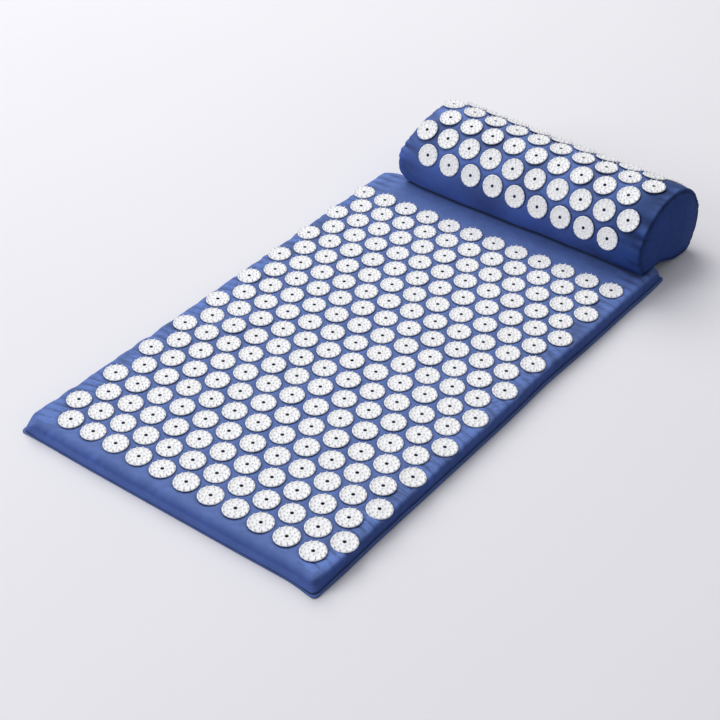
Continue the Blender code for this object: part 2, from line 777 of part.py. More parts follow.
def make_mat_zip(fabric, plastic, metal):
    """In the seam of the left side: points here are (inset from the seam, height)."""
    opening = opening_run()
    insets = [opening + share * (SHOULDER_RUN - opening) for share in SHOULDER_SHARES]
    slope = [Vector((inset, cover_height(inset, MAT_LENGTH))) for inset in insets]
    lip = [Vector((share * LIP_RUN, lip_height(share * LIP_RUN))) for share in LIP_SHARES]
    low, high = Vector((0, top_edge_height())), slope[0]
    across = (high - low).normalized()
    out = Vector((-across.y, across.x))
    middle = (low + high) / 2
    face = lip[::-1] + [low, middle] + slope
    upper, lower = tape_profiles(face, len(lip) + 1, middle, across, out)
    edge_x = -side_outline(0.0)
    lean = Vector((EDGE_SIDE_SKEW, MAT_LENGTH / 2, 0)).normalized()
    start = Vector((edge_x + middle.x, 0, middle.y))
    side_in = Vector((lean.y, -lean.x, 0))
    up = side_in * across.x + Vector((0, 0, across.y))
    frame = zip_frame("mat_zip_frame", start, -lean, up)
    make_zip("mat", frame, MAT_ZIP_LENGTH, upper, lower, fabric, plastic, metal)


def make_pillow_zip(fabric, plastic, metal, pillow):
    """Low on the back: points here are (depth, height) in the pillow's own section."""
    low, high = (Vector(p) for p in zip_face())
    across = (high - low).normalized()
    out = Vector((across.y, -across.x))
    middle = (low + high) / 2
    angles = upper_angles(0.0, 0.0, front_edge_height(0.0), high.y, WRAP_POINTS)
    wrap = [Vector(section_point(angle, 0.0)) for angle in angles[-3:]]
    lip = [Vector(section_point(section_angle(share * PILLOW_BACK_LIP, 0.0), 0.0))
           for share in PILLOW_LIP_SHARES[::-1]]
    lower, upper = tape_profiles(wrap + [middle] + lip, len(wrap), middle, across, out)
    start = Vector((0, middle.x, middle.y))
    up = Vector((0, across.x, across.y))
    frame = zip_frame("pillow_zip_frame", start, Vector((-1, 0, 0)), up, pillow)
    make_zip("pillow", frame, PILLOW_ZIP_LENGTH, upper, lower, fabric, plastic, metal)


def main():
    clear_scene()
    make_collection(PARTS)
    make_collection(CUTTERS)
    cloth = make_material("cotton_cloth", (0.060, 0.135, 0.480), 0.85)
    foam = make_material("polyurethane_foam", (0.75, 0.72, 0.62), 0.95)
    plastic = make_material("abs_plastic", (0.82, 0.82, 0.84), 0.40)
    fabric = make_material("zip_tape", (0.030, 0.070, 0.260), 0.80)
    nylon = make_material("nylon_coil", (0.040, 0.080, 0.300), 0.45)
    metal = make_material("zinc_alloy", (0.55, 0.55, 0.58), 0.35, 1.0)
    make_foam_slab(foam)
    make_cover_base(cloth)
    make_cover_top(cloth)
    make_mat_rows(plastic)
    make_mat_zip(fabric, nylon, metal)
    pillow = make_empty("pillow_place", None, pillow_matrix())
    make_pillow_core(foam, pillow)
    make_pillow_base(cloth, pillow)
    make_wrap(cloth, pillow)
    make_pillow_end("pillow_end_left", -1, cloth, pillow)
    make_pillow_end("pillow_end_right", 1, cloth, pillow)
    make_pillow_rows(plastic, pillow)
    make_pillow_zip(fabric, nylon, metal, pillow)


main()
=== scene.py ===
"""Looks of an acupressure mat and its loose neck pillow, laid out as a Blender add-on.

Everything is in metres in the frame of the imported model: the origin is the middle of the mat's
underside, +Y runs to the head end, where the pillow lies, and +X to the right-hand side.
"""

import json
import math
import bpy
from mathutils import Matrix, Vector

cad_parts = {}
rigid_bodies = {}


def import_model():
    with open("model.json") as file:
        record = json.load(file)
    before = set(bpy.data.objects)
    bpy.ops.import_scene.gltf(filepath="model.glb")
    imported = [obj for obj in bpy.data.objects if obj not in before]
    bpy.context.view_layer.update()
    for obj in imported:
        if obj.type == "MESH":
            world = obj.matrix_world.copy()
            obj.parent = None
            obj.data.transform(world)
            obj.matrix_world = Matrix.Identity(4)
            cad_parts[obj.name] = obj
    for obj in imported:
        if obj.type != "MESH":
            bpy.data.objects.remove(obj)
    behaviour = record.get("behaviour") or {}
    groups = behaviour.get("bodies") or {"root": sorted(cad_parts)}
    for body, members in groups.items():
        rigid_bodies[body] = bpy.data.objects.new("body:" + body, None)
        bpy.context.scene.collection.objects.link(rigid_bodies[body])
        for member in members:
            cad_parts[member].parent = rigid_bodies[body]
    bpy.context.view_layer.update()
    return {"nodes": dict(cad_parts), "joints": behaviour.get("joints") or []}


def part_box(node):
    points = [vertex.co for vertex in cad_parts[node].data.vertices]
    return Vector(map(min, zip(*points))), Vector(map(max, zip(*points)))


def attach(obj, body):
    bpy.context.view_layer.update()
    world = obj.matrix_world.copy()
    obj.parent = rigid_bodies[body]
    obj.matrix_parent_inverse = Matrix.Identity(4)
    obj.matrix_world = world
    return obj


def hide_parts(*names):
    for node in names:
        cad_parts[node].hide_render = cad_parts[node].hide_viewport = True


bl_info = {
    "name": "Acupressure mat and pillow",
    "version": (1, 0, 0),
    "blender": (4, 5, 0),
    "location": "3D View > Sidebar > Mat",
    "description": "Covers, spiked discs, foam and zips of an acupressure mat and its neck pillow",
    "category": "Object",
}

import bmesh
import bpy
import numpy as np
from bpy.props import FloatProperty, FloatVectorProperty, PointerProperty
from mathutils import Matrix, Vector

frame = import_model()
MM = 0.001


def srgb(code):
    """A hex colour as the linear values that Blender's sockets take."""
    parts = [int(code[k:k + 2], 16) / 255 for k in (1, 3, 5)]
    return tuple(c / 12.92 if c <= 0.04045 else ((c + 0.055) / 1.055) ** 2.4 for c in parts)


# Sizes and colours that a user would change


def length_of(name, description, default):
    return FloatProperty(name=name, description=description, default=default, unit="LENGTH")


def angle_of(name, description, degrees):
    return FloatProperty(name=name, description=description, default=math.radians(degrees),
                         subtype="ANGLE")


def share_of(name, description, default):
    return FloatProperty(name=name, description=description, default=default, min=0, max=2)


def power_of(name, description, default):
    return FloatProperty(name=name, description=description, default=default, unit="POWER")


def colour_of(name, description, code):
    return FloatVectorProperty(name=name, description=description, subtype="COLOR",
                               default=srgb(code), min=0, max=1)


class MatLook(bpy.types.PropertyGroup):
    length: length_of("Length", "Lip to lip along the mat", 0.660)
    width: length_of("Width", "Lip to lip across the mat", 0.406)
    thickness: length_of("Thickness", "Height of the flat top", 0.020)
    side_draw: length_of("Side draw", "How far the long sides pull in", 0.0015)
    end_bow: length_of("End bow", "How far the short ends bow out", 0.0010)
    skew: length_of("Skew", "Sideways shift of the head end's corners", 0.0073)
    across: length_of("Spacing across", "Mesh spacing across the mat", 0.0030)
    along: length_of("Spacing along", "Mesh spacing along the mat", 0.0017)
    crease: length_of("Crease depth", "Depth of the fine creases at the edges", 0.0007)
    dent: length_of("Dent depth", "Depth of the soft dents in the walls", 0.0009)


class DiscLook(bpy.types.PropertyGroup):
    diameter: length_of("Diameter", "Outside of a disc", 0.0285)
    plate: length_of("Plate", "Thickness of the plate under the spikes", 0.0018)
    hole: length_of("Hole", "Diameter of the middle hole", 0.0039)
    spike: length_of("Spike height", "From the plate to the tip of an outer spike", 0.0034)
    spike_width: length_of("Spike width", "Diameter of a spike's foot", 0.0030)
    tilt: angle_of("Tilt", "Most that a disc leans on the soft cloth", 1.3)
    colour: colour_of("Disc colour", "Moulded ABS plastic", "#FDFDFE")


class PillowLook(bpy.types.PropertyGroup):
    length: length_of("Length", "Between the end seams", 0.360)
    half_depth: length_of("Half depth", "Half the pillow's greatest depth", 0.0705)
    widest: length_of("Widest height", "Height of the greatest depth", 0.038)
    crown: length_of("Crown", "From the widest height up to the crown", 0.0634)
    undercut: length_of("Undercut", "Radius of the section's lower half", 0.064)
    taper: share_of("Left taper", "Share that the left end is gathered in", 0.03)
    flare: share_of("Right flare", "Share that the right end swells", 0.012)
    sag: share_of("Sag", "Share by which the middle is lower than the ends", 0.02)
    slant: length_of("Left slant", "How far the left end draws in at the crown", 0.015)
    tuck: length_of("Right tuck", "How far the lower front draws back on the right", 0.0100)
    twist: share_of("Twist", "How the disc rows turn round the pillow along it", 0.040)
    spread: share_of("Spread", "Spacing of the discs against that on the mat", 1.025)
    bulge: length_of("End bulge", "How far an end panel stands out", 0.0060)
    gather: length_of("Gathers", "Depth of the puckers at the end seams", 0.0024)
    overlap: length_of("Overlap", "How far the pillow lies over the mat", 0.0385)
    shift: length_of("Shift", "Sideways place of the pillow's middle", 0.0195)
    tilt: angle_of("Tilt", "Slope of the base from the mat to the floor", 6.5)
    yaw: angle_of("Yaw", "Turn of the pillow as it was put down", -2.5)


class ZipLook(bpy.types.PropertyGroup):
    opening: length_of("Opening", "Width between the two cloth edges", 0.0078)
    recess: length_of("Recess", "Depth of the cloth's edge over the tapes", 0.0019)
    pitch: length_of("Coil pitch", "Distance from one turn of a coil to the next", 0.0013)
    stitch: length_of("Stitch", "Length of a stitch", 0.0026)
    stitch_gap: length_of("Stitch gap", "Gap between two stitches", 0.0009)


class ClothLook(bpy.types.PropertyGroup):
    colour: colour_of("Cloth", "Dyed cotton", "#38539B")
    # Painted light: the paler colour given to upward faces stands in for light falling on them, and not for
    # lint.
    painted_top_light: colour_of("Bloom", "Lint that pales the upper faces", "#5670B0")
    thread: length_of("Thread spacing", "Distance from thread to thread", 0.0012)
    tape: colour_of("Zip tape", "Woven polyester tape", "#24407F")


class StageLook(bpy.types.PropertyGroup):
    floor: colour_of("Floor", "Pale paper backdrop", "#F1F0F4")
    key: power_of("Key light", "Power of the large soft light", 77.0)
    top: power_of("Top light", "Power of the wide light overhead", 17.0)
    fill: power_of("Fill light", "Power of the light at the camera's side", 34.0)
    sky: share_of("Room light", "Strength of the even light all round", 0.38)


# Small helpers


def ease(share):
    """Smooth step from 0 to 1."""
    share = np.clip(share, 0.0, 1.0)
    return share * share * (3 - 2 * share)


def bump(distance, width):
    """A smooth hill of height 1 round distance 0."""
    return np.exp(-np.square(distance / width))


# Waves in the cloth: wavelength, heading and its spread in radians, how many, seed of the draw
WAVES = {
    "mat swell": (0.090, 0.0, math.pi, 12, 3),
    "fine unevenness": (0.012, 0.0, math.pi, 16, 4),
    "broad unevenness": (0.028, 0.0, math.pi, 14, 6),
    "fine side crease": (0.0085, math.radians(82), 0.12, 7, 11),
    "broad side crease": (0.020, math.radians(72), 0.3, 7, 15),
    "scallop": (0.038, 0.0, 0.35, 6, 12),
    "side dent": (0.019, 0.3, 0.4, 7, 13),
    "end dent": (0.055, 0.1, 0.35, 8, 21),
    "end fold": (0.024, 0.25, 0.35, 7, 22),
    "end fold strength": (0.070, 0.0, 0.2, 5, 23),
    "end crumple": (0.020, 0.7, 0.5, 8, 24),
    "lip wobble": (0.045, 0.8, math.pi, 9, 41),
    "lip roll": (0.030, 0.8, math.pi, 9, 42),
    "fine gather": (0.019, 0.0, 0.12, 7, 51),
    "broad gather": (0.024, 0.25, 0.3, 6, 52),
    "gather strength": (0.060, 0.0, 0.3, 5, 53),
    "pillow swell": (0.085, 0.6, math.pi, 10, 54),
    "pillow drag": (0.016, 1.15, 0.25, 7, 55),
    "end pucker": (0.014, 0.0, 0.1, 7, 61),
}


def ripples(x, y, kind, seed_shift=0):
    """Sum of many low waves that run roughly one way: an even, random ripple between -1 and 1."""
    wavelength, heading, spread, count, seed = WAVES[kind]
    draw = np.random.default_rng(seed + seed_shift)
    total = np.zeros_like(np.asarray(x, float) + np.asarray(y, float))
    for _ in range(count):
        turn = heading + spread * draw.uniform(-1, 1)
        length = wavelength * draw.uniform(0.7, 1.4)
        phase = draw.uniform(0, 2 * math.pi)
        total += np.cos(2 * math.pi * (x * math.cos(turn) + y * math.sin(turn)) / length + phase)
    return total / math.sqrt(count) / 1.6


def ridged(wave):
    """A ripple folded over on itself, so that its low places are creases and not round troughs."""
    return 2 * np.sqrt(np.abs(wave) + 0.01) - 1.1


def add_node(tree, kind, sockets=None, **settings):
    """Add a node with its settings, and link or set its sockets.

    A node given as a value stands for its first output.
    """
    node = tree.nodes.new(kind)
    for name, value in settings.items():
        setattr(node, name, value)
    for name, value in (sockets or {}).items():
        if isinstance(value, bpy.types.Node):
            value = value.outputs[0]
        if isinstance(value, bpy.types.NodeSocket):
            tree.links.new(value, node.inputs[name])
        else:
            node.inputs[name].default_value = value
    return node


def add_object(name, data):
    item = bpy.data.objects.new(name, data)
    bpy.context.scene.collection.objects.link(item)
    return item


def mesh_piece(name, verts, faces, material=None, uv=None, wear=None, smooth=True):
    """A new object at the origin from points and faces, with its own UV maps if they are given.

    The map "cloth" holds the place on the flat cloth. In the second map, U says how much paler or darker a
    fold or seam is painted than the plain cloth, as painted light and shade, and V how much painted shade a
    place gets.
    """
    mesh = bpy.data.meshes.new(name)
    mesh.from_pydata([tuple(v) for v in verts], [], [tuple(f) for f in faces])
    corners = np.empty(len(mesh.loops), dtype=np.int32)
    mesh.loops.foreach_get("vertex_index", corners)
    for label, spots in (("cloth", uv), ("wear", wear)):
        if spots is not None:
            layer = mesh.uv_layers.new(name=label)
            layer.data.foreach_set("uv", np.asarray(spots, np.float32)[corners].ravel())
    if smooth:
        mesh.shade_smooth()
    if material:
        mesh.materials.append(material)
    return add_object(name, mesh)


def bmesh_piece(name, bm, material, sharp_degrees):
    """A new object from a bmesh, smooth but for edges sharper than that angle."""
    bmesh.ops.recalc_face_normals(bm, faces=bm.faces)
    mesh = bpy.data.meshes.new(name)
    bm.to_mesh(mesh)
    bm.free()
    mesh.materials.append(material)
    mesh.shade_smooth()
    mesh.set_sharp_from_angle(angle=math.radians(sharp_degrees))
    return add_object(name, mesh)


def tube_faces(starts, count):
    """Quads between closed rings of points, each ring given by the index of its first point."""
    return [(near + k, near + (k + 1) % count, far + (k + 1) % count, far + k)
            for near, far in zip(starts, starts[1:]) for k in range(count)]


def settle(item):
    """Turn an object's modifiers into plain mesh."""
    ready = item.evaluated_get(bpy.context.evaluated_depsgraph_get())
    mesh = bpy.data.meshes.new_from_object(ready)
    old = item.data
    item.modifiers.clear()
    item.data = mesh
    bpy.data.meshes.remove(old)
    item.data.name = item.name
    return item


def hand_in(item, body, nodes=()):
    """Put a piece on the body that it rides on, and hide the nodes that it stands for."""
    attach(item, body)
    if nodes:
        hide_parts(*nodes)


def nodes_named(start):
    return sorted(name for name in frame["nodes"] if name.startswith(start))


# Materials


def new_material(name, kind="ShaderNodeTexCoord", **settings):
    """A material with a bare tree, and the outputs of its first node, which say where a point is."""
    material = bpy.data.materials.new(name)
    material.use_nodes = True
    tree = material.node_tree
    tree.nodes.clear()
    return material, tree, add_node(tree, kind, **settings).outputs


def close_material(material, sockets):
    """Give the tree its Principled shader and output."""
    tree = material.node_tree
    shader = add_node(tree, "ShaderNodeBsdfPrincipled", sockets)
    add_node(tree, "ShaderNodeOutputMaterial", {"Surface": shader})
    return material


def shaded(tree, colour, pattern, spread, base):
    """A colour times a pattern that goes from the base up by the spread."""
    tone = add_node(tree, "ShaderNodeMath", {0: pattern, 1: spread, 2: base}, operation="MULTIPLY_ADD")
    return add_node(tree, "ShaderNodeVectorMath", {0: colour, "Scale": tone}, operation="SCALE")


def cotton_plain_weave(name, look, seed):
    """Dyed cotton, woven over and under and laundered once: matt, with soft sheen at grazing angles, and with
    painted light and shade in its colour.

    The real threads are 0.4 mm apart, which no render of the whole mat can show, so the weave is
    drawn three times as coarse.
    """
    material, tree, place = new_material(name)
    cloth = add_node(tree, "ShaderNodeUVMap", uv_map="cloth")
    turns = math.pi / look.thread
    warp = add_node(tree, "ShaderNodeMapping", {"Vector": cloth, "Scale": (turns, turns, turns)})
    sides = add_node(tree, "ShaderNodeSeparateXYZ", {"Vector": warp})
    over = add_node(tree, "ShaderNodeMath", {0: sides.outputs["X"]}, operation="SINE")
    under = add_node(tree, "ShaderNodeMath", {0: sides.outputs["Y"]}, operation="SINE")
    weave = add_node(tree, "ShaderNodeMath", {0: over, 1: under}, operation="MULTIPLY")
    slub = add_node(tree, "ShaderNodeTexNoise", {"Vector": cloth, "Scale": 900.0, "Detail": 2.0,
                                                 "Roughness": 0.6})
    fade = add_node(tree, "ShaderNodeTexNoise", {"Vector": place["Object"], "Scale": 28.0 + seed,
                                                 "Detail": 3.0, "Roughness": 0.55})
    mottle = add_node(tree, "ShaderNodeTexNoise", {"Vector": place["Object"], "Scale": 95.0, "Detail": 3.0,
                                                   "Roughness": 0.6, "Distortion": 0.4})
    # The patterns are added up one by one, each with its weight
    level = add_node(tree, "ShaderNodeMath", {0: mottle, 1: 0.8, 2: fade}, operation="MULTIPLY_ADD")
    level = add_node(tree, "ShaderNodeMath", {0: level, 1: 0.45, 2: 0.535}, operation="MULTIPLY_ADD")
    for pattern, weight in ((slub, 0.16), (weave, 0.035)):
        level = add_node(tree, "ShaderNodeMath", {0: pattern, 1: weight, 2: level},
                         operation="MULTIPLY_ADD")
    facing = add_node(tree, "ShaderNodeSeparateXYZ", {"Vector": place["Normal"]})
    # Painted light: faces that point up are mixed towards the paler colour
    upward = add_node(tree, "ShaderNodeMapRange", {"Value": facing.outputs["Z"], "From Min": 0.2})
    top_lit_colour = add_node(tree, "ShaderNodeMix", {0: upward, 6: (*look.colour, 1.0), 7: (*look.painted_top_light, 1.0)},
                      data_type="RGBA").outputs[2]
    wear = add_node(tree, "ShaderNodeUVMap", uv_map="wear")
    shade_parts = add_node(tree, "ShaderNodeSeparateXYZ", {"Vector": wear})
    # Painted shade: cloth that faces right, and places that V of the second map marks, are darker, with less
    # gloss and sheen
    aside = add_node(tree, "ShaderNodeMapRange", {"Value": facing.outputs["X"], "From Min": 0.35,
                                                  "To Max": 0.6})
    turned = add_node(tree, "ShaderNodeMath", {0: aside, 1: shade_parts.outputs["Y"]}, operation="MAXIMUM")
    right_shade, gloss, sheen = (
        add_node(tree, "ShaderNodeMapRange", {"Value": turned, "To Min": start, "To Max": end})
        for start, end in ((1.0, 0.56), (0.5, 0.05), (0.15, 0.0)))
    # Painted shade: the cloth is darker in hollows, grooves and seams and where a disc or the pillow sits on
    # it
    hollow = add_node(tree, "ShaderNodeAmbientOcclusion", {"Distance": 4 * MM}, samples=8)
    hollow_shade = add_node(tree, "ShaderNodeMapRange", {"Value": hollow.outputs["AO"], "From Min": 0.45,
                                                 "From Max": 0.95, "To Min": 0.4})
    # Painted light and shade: folds paler on their ridges and darker in their hollows, and seams darker, from
    # U of the second map
    folds = add_node(tree, "ShaderNodeMath", {0: level, 1: shade_parts.outputs["X"], 2: level},
                     operation="MULTIPLY_ADD")
    all_painted_shade = add_node(tree, "ShaderNodeMath", {0: right_shade, 1: hollow_shade}, operation="MULTIPLY")
    level = add_node(tree, "ShaderNodeMath", {0: folds, 1: all_painted_shade}, operation="MULTIPLY")
    shade = add_node(tree, "ShaderNodeVectorMath", {0: top_lit_colour, "Scale": level}, operation="SCALE")
    height = add_node(tree, "ShaderNodeMath", {0: slub, 1: 0.8, 2: weave}, operation="MULTIPLY_ADD")
    woven = add_node(tree, "ShaderNodeBump", {"Strength": 0.35, "Distance": 0.12 * MM, "Height": height})
    relief = add_node(tree, "ShaderNodeBump", {"Strength": 0.5, "Distance": 1.6 * MM, "Height": mottle,
                                               "Normal": woven})
    return close_material(material, {
        "Base Color": shade, "Normal": relief, "Roughness": 0.74, "IOR": 1.46,
        "Specular IOR Level": gloss, "Sheen Weight": sheen, "Sheen Roughness": 0.5,
        "Sheen Tint": (*srgb("#9DB8F0"), 1.0)})


def moulded_abs(look):
    """White ABS, injection moulded in a satin tool: pale, with soft highlights on rounded edges."""
    material, tree, place = new_material("moulded_abs")
    tool = add_node(tree, "ShaderNodeTexNoise", {"Vector": place["Object"], "Scale": 1400.0, "Detail": 2.0,
                                                 "Roughness": 0.5})
    batch = add_node(tree, "ShaderNodeTexNoise", {"Vector": place["Object"], "Scale": 22.0, "Detail": 1.0})
    relief = add_node(tree, "ShaderNodeBump", {"Strength": 0.15, "Distance": 0.05 * MM, "Height": tool})
    return close_material(material, {
        "Base Color": shaded(tree, look.colour, batch, 0.06, 0.95), "Normal": relief, "Roughness": 0.5,
        "IOR": 1.54, "Specular IOR Level": 0.35})


def cut_foam():
    """Open-cell polyurethane, sawn from a block: cream, dull, with cells half a millimetre wide."""
    material, tree, place = new_material("cut_foam")
    cells = add_node(tree, "ShaderNodeTexVoronoi", {"Vector": place["Object"], "Scale": 1500.0})
    relief = add_node(tree, "ShaderNodeBump", {"Strength": 0.6, "Distance": 0.3 * MM, "Height": cells})
    return close_material(material, {
        "Base Color": shaded(tree, srgb("#E6DFC8"), cells, 0.25, 0.85), "Normal": relief,
        "Roughness": 0.95, "IOR": 1.4})


def herringbone_tape(look):
    """Polyester zip tape, woven in a fine herringbone: smoother and darker than the cotton."""
    material, tree, place = new_material("herringbone_tape", "ShaderNodeUVMap", uv_map="cloth")
    ribs = add_node(tree, "ShaderNodeTexWave", {"Vector": place["UV"], "Scale": 160.0, "Distortion": 0.0},
                    bands_direction="DIAGONAL").outputs["Fac"]
    relief = add_node(tree, "ShaderNodeBump", {"Strength": 0.5, "Distance": 0.1 * MM, "Height": ribs})
    return close_material(material, {
        "Base Color": shaded(tree, look.tape, ribs, 0.25, 0.85), "Normal": relief, "Roughness": 0.7,
        "IOR": 1.5, "Sheen Weight": 0.1})


def dyed_nylon(look):
    """Nylon monofilament, dyed to the tape and wound into the coil: a little glossy."""
    material, tree, place = new_material("dyed_nylon")
    dye = add_node(tree, "ShaderNodeTexNoise", {"Vector": place["Object"], "Scale": 300.0})
    return close_material(material, {
        "Base Color": shaded(tree, look.tape, dye, 0.3, 1.05), "Roughness": 0.36, "IOR": 1.53})


def sewing_thread(look):
    """Spun polyester thread, dyed to the cloth, with the light catching its twist."""
    material, tree, place = new_material("sewing_thread")
    twist = add_node(tree, "ShaderNodeTexNoise", {"Vector": place["Object"], "Scale": 2200.0})
    return close_material(material, {
        "Base Color": shaded(tree, look.colour, twist, 0.5, 0.9), "Roughness": 0.62, "IOR": 1.5,
        "Sheen Weight": 0.3})


def plated_zinc():
    """Die-cast zinc with a satin nickel plating: grey metal, rubbed a little brighter in streaks."""
    material, tree, place = new_material("plated_zinc")
    wear = add_node(tree, "ShaderNodeTexNoise", {"Vector": place["Object"], "Scale": 500.0, "Detail": 4.0,
                                                 "Roughness": 0.65})
    polish = add_node(tree, "ShaderNodeMapRange", {"Value": wear, "To Min": 0.24, "To Max": 0.46})
    return close_material(material, {
        "Base Color": shaded(tree, srgb("#B9BABD"), wear, 0.2, 0.88), "Metallic": 1.0,
        "Roughness": polish})


def studio_paper(look):
    """Matt white studio paper: an even, pale surface that keeps a soft shadow."""
    material, tree, place = new_material("studio_paper")
    fibre = add_node(tree, "ShaderNodeTexNoise", {"Vector": place["Object"], "Scale": 3.0, "Detail": 2.0})
    return close_material(material, {
        "Base Color": shaded(tree, look.floor, fibre, 0.02, 0.99), "Roughness": 0.95,
        "Specular IOR Level": 0.1})


def material_of(name, make, *arguments):
    """The material of that name, made the first time that it is asked for."""
    return bpy.data.materials.get(name) or make(*arguments)


# Geometry Nodes


def new_tree(name, inputs):
    """A node group with a geometry coming in and going out, and named inputs with defaults."""
    tree = bpy.data.node_groups.new(name, "GeometryNodeTree")
    tree.interface.new_socket("Geometry", in_out="OUTPUT", socket_type="NodeSocketGeometry")
    tree.interface.new_socket("Geometry", in_out="INPUT", socket_type="NodeSocketGeometry")
    for label, kind, value in inputs:
        socket = tree.interface.new_socket(label, in_out="INPUT", socket_type="NodeSocket" + kind)
        if value is not None:
            socket.default_value = value
    return tree, add_node(tree, "NodeGroupInput").outputs


def close_tree(tree, geometry, material):
    """Real geometry with its material: an export keeps no instances."""
    real = add_node(tree, "GeometryNodeRealizeInstances", {"Geometry": geometry})
    painted = add_node(tree, "GeometryNodeSetMaterial", {"Geometry": real, "Material": material})
    add_node(tree, "NodeGroupOutput", {"Geometry": painted})
    return tree


# The rings of spikes on a disc: name, how many, radius, turn in radians, share of the full height
SPIKE_RINGS = (("Inner", 6, 5.1 * MM, 0.0, 0.52), ("Middle", 9, 8.7 * MM, 0.20, 0.52),
               ("Outer", 12, 12.5 * MM, 0.10, 1.0))


def spike_tree():
    """Three rings of cones stood on a plate that comes in as geometry."""
    inputs = [("Spike width", "Float", 3.0 * MM), ("Spike height", "Float", 4.0 * MM),
              ("Foot height", "Float", 1.6 * MM), ("Sides", "Int", 5),
              ("Belly", "Float", 0.2), ("Material", "Material", None)]
    for label, count, radius, turn, tall in SPIKE_RINGS:
        inputs += [(label + " count", "Int", count), (label + " radius", "Float", radius),
                   (label + " turn", "Float", turn), (label + " height", "Float", tall)]
    tree, given = new_tree("spiked_disc", inputs)
    half = add_node(tree, "ShaderNodeMath", {0: given["Spike width"], 1: 0.5}, operation="MULTIPLY")
    cone = add_node(tree, "GeometryNodeMeshCone", {
        "Vertices": given["Sides"], "Side Segments": 2, "Radius Top": 0.0, "Radius Bottom": half,
        "Depth": given["Spike height"]})
    # The ring of points half-way up moves out, so that the cone has a belly and looks rounded
    spot = add_node(tree, "GeometryNodeInputPosition")
    parts = add_node(tree, "ShaderNodeSeparateXYZ", {"Vector": spot}).outputs
    raised = add_node(tree, "ShaderNodeMath", {0: parts["Z"], 1: 0.1 * MM}, operation="GREATER_THAN")
    belly = add_node(tree, "ShaderNodeMath", {0: raised, 1: given["Belly"]}, operation="MULTIPLY")
    level = add_node(tree, "ShaderNodeCombineXYZ", {"X": parts["X"], "Y": parts["Y"]})
    push = add_node(tree, "ShaderNodeVectorMath", {0: level, "Scale": belly}, operation="SCALE")
    cone = add_node(tree, "GeometryNodeSetPosition", {"Geometry": cone, "Offset": push})
    foot = add_node(tree, "ShaderNodeCombineXYZ", {"Z": given["Foot height"]})
    joined = add_node(tree, "GeometryNodeJoinGeometry", {"Geometry": given["Geometry"]})
    for label, *_ in SPIKE_RINGS:
        circle = add_node(tree, "GeometryNodeMeshCircle", {"Vertices": given[label + " count"],
                                                           "Radius": given[label + " radius"]})
        turn = add_node(tree, "ShaderNodeCombineXYZ", {"Z": given[label + " turn"]})
        placed = add_node(tree, "GeometryNodeTransform", {"Geometry": circle, "Translation": foot,
                                                          "Rotation": turn})
        stretch = add_node(tree, "ShaderNodeCombineXYZ", {"X": 1.0, "Y": 1.0,
                                                          "Z": given[label + " height"]})
        spikes = add_node(tree, "GeometryNodeInstanceOnPoints", {"Points": placed, "Instance": cone,
                                                                 "Scale": stretch})
        tree.links.new(spikes.outputs[0], joined.inputs[0])
    return close_tree(tree, joined, given["Material"])


def laying_tree():
    """A piece on every point, turned as the point says, with a little random lean and spin."""
    tree, given = new_tree("pieces_on_points", [
        ("Piece", "Object", None), ("Lean", "Float", 0.0), ("Spin", "Float", 0.0), ("Seed", "Int", 1),
        ("Material", "Material", None)])
    piece = add_node(tree, "GeometryNodeObjectInfo", {"Object": given["Piece"]}).outputs["Geometry"]
    turn = add_node(tree, "GeometryNodeInputNamedAttribute", {"Name": "turn"}, data_type="FLOAT_VECTOR")
    base = add_node(tree, "FunctionNodeEulerToRotation", {"Euler": turn})
    chance = add_node(tree, "FunctionNodeRandomValue", {
        "Min": (-1, -1, -1), "Max": (1, 1, 1), "Seed": given["Seed"]}, data_type="FLOAT_VECTOR")
    most = add_node(tree, "ShaderNodeCombineXYZ", {"X": given["Lean"], "Y": given["Lean"],
                                                   "Z": given["Spin"]})
    lean = add_node(tree, "ShaderNodeVectorMath", {0: chance, 1: most}, operation="MULTIPLY")
    jitter = add_node(tree, "FunctionNodeEulerToRotation", {"Euler": lean})
    turned = add_node(tree, "FunctionNodeRotateRotation", {"Rotation": base, "Rotate By": jitter},
                      rotation_space="LOCAL")
    laid = add_node(tree, "GeometryNodeInstanceOnPoints", {
        "Points": given["Geometry"], "Instance": piece, "Rotation": turned})
    return close_tree(tree, laid, given["Material"])


def run_tree(item, tree, values):
    """Run a tree on an object and keep the result as plain mesh."""
    step = item.modifiers.new(tree.name, "NODES")
    step.node_group = tree
    for socket in tree.interface.items_tree:
        if socket.in_out == "INPUT" and socket.name in values:
            step[socket.identifier] = values[socket.name]
    return settle(item)


def lay(name, pattern, places, lean=0.0, spin=0.0, seed=1):
    """Lay copies of a pattern at (point, rotation matrix) places as one mesh, and drop the pattern."""
    item = mesh_piece(name, [point for point, _ in places], [])
    turns = item.data.attributes.new("turn", "FLOAT_VECTOR", "POINT")
    turns.data.foreach_set("vector", [a for _, turn in places for a in turn.to_euler()])
    tree = bpy.data.node_groups.get("pieces_on_points") or laying_tree()
    laid = run_tree(item, tree, {"Piece": pattern, "Lean": lean, "Spin": spin, "Seed": seed,
                                 "Material": pattern.data.materials[0]})
    bpy.data.objects.remove(pattern)
    return laid


# Mat


# How far the flat top and the last ring on the floor lie in from the lip
FLAT_INSET = 0.012
FLOOR_INSET = 0.005

# How far from a corner the outline's draw and bow grow to their full size, and over what distance the
# section of a side turns into that of an end; then how far the corners are rounded across and along
CORNER_REACH = 0.110
CORNER_BLEND = 0.028
CORNER_ROUND = (10 * MM, 15 * MM)
CORNER_POWER = 2.3

# Mesh rings over the shoulder, down the wall and round the lip
SHOULDER_STEPS = 11
WALL_STEPS = 8
LIP_STEPS = 7

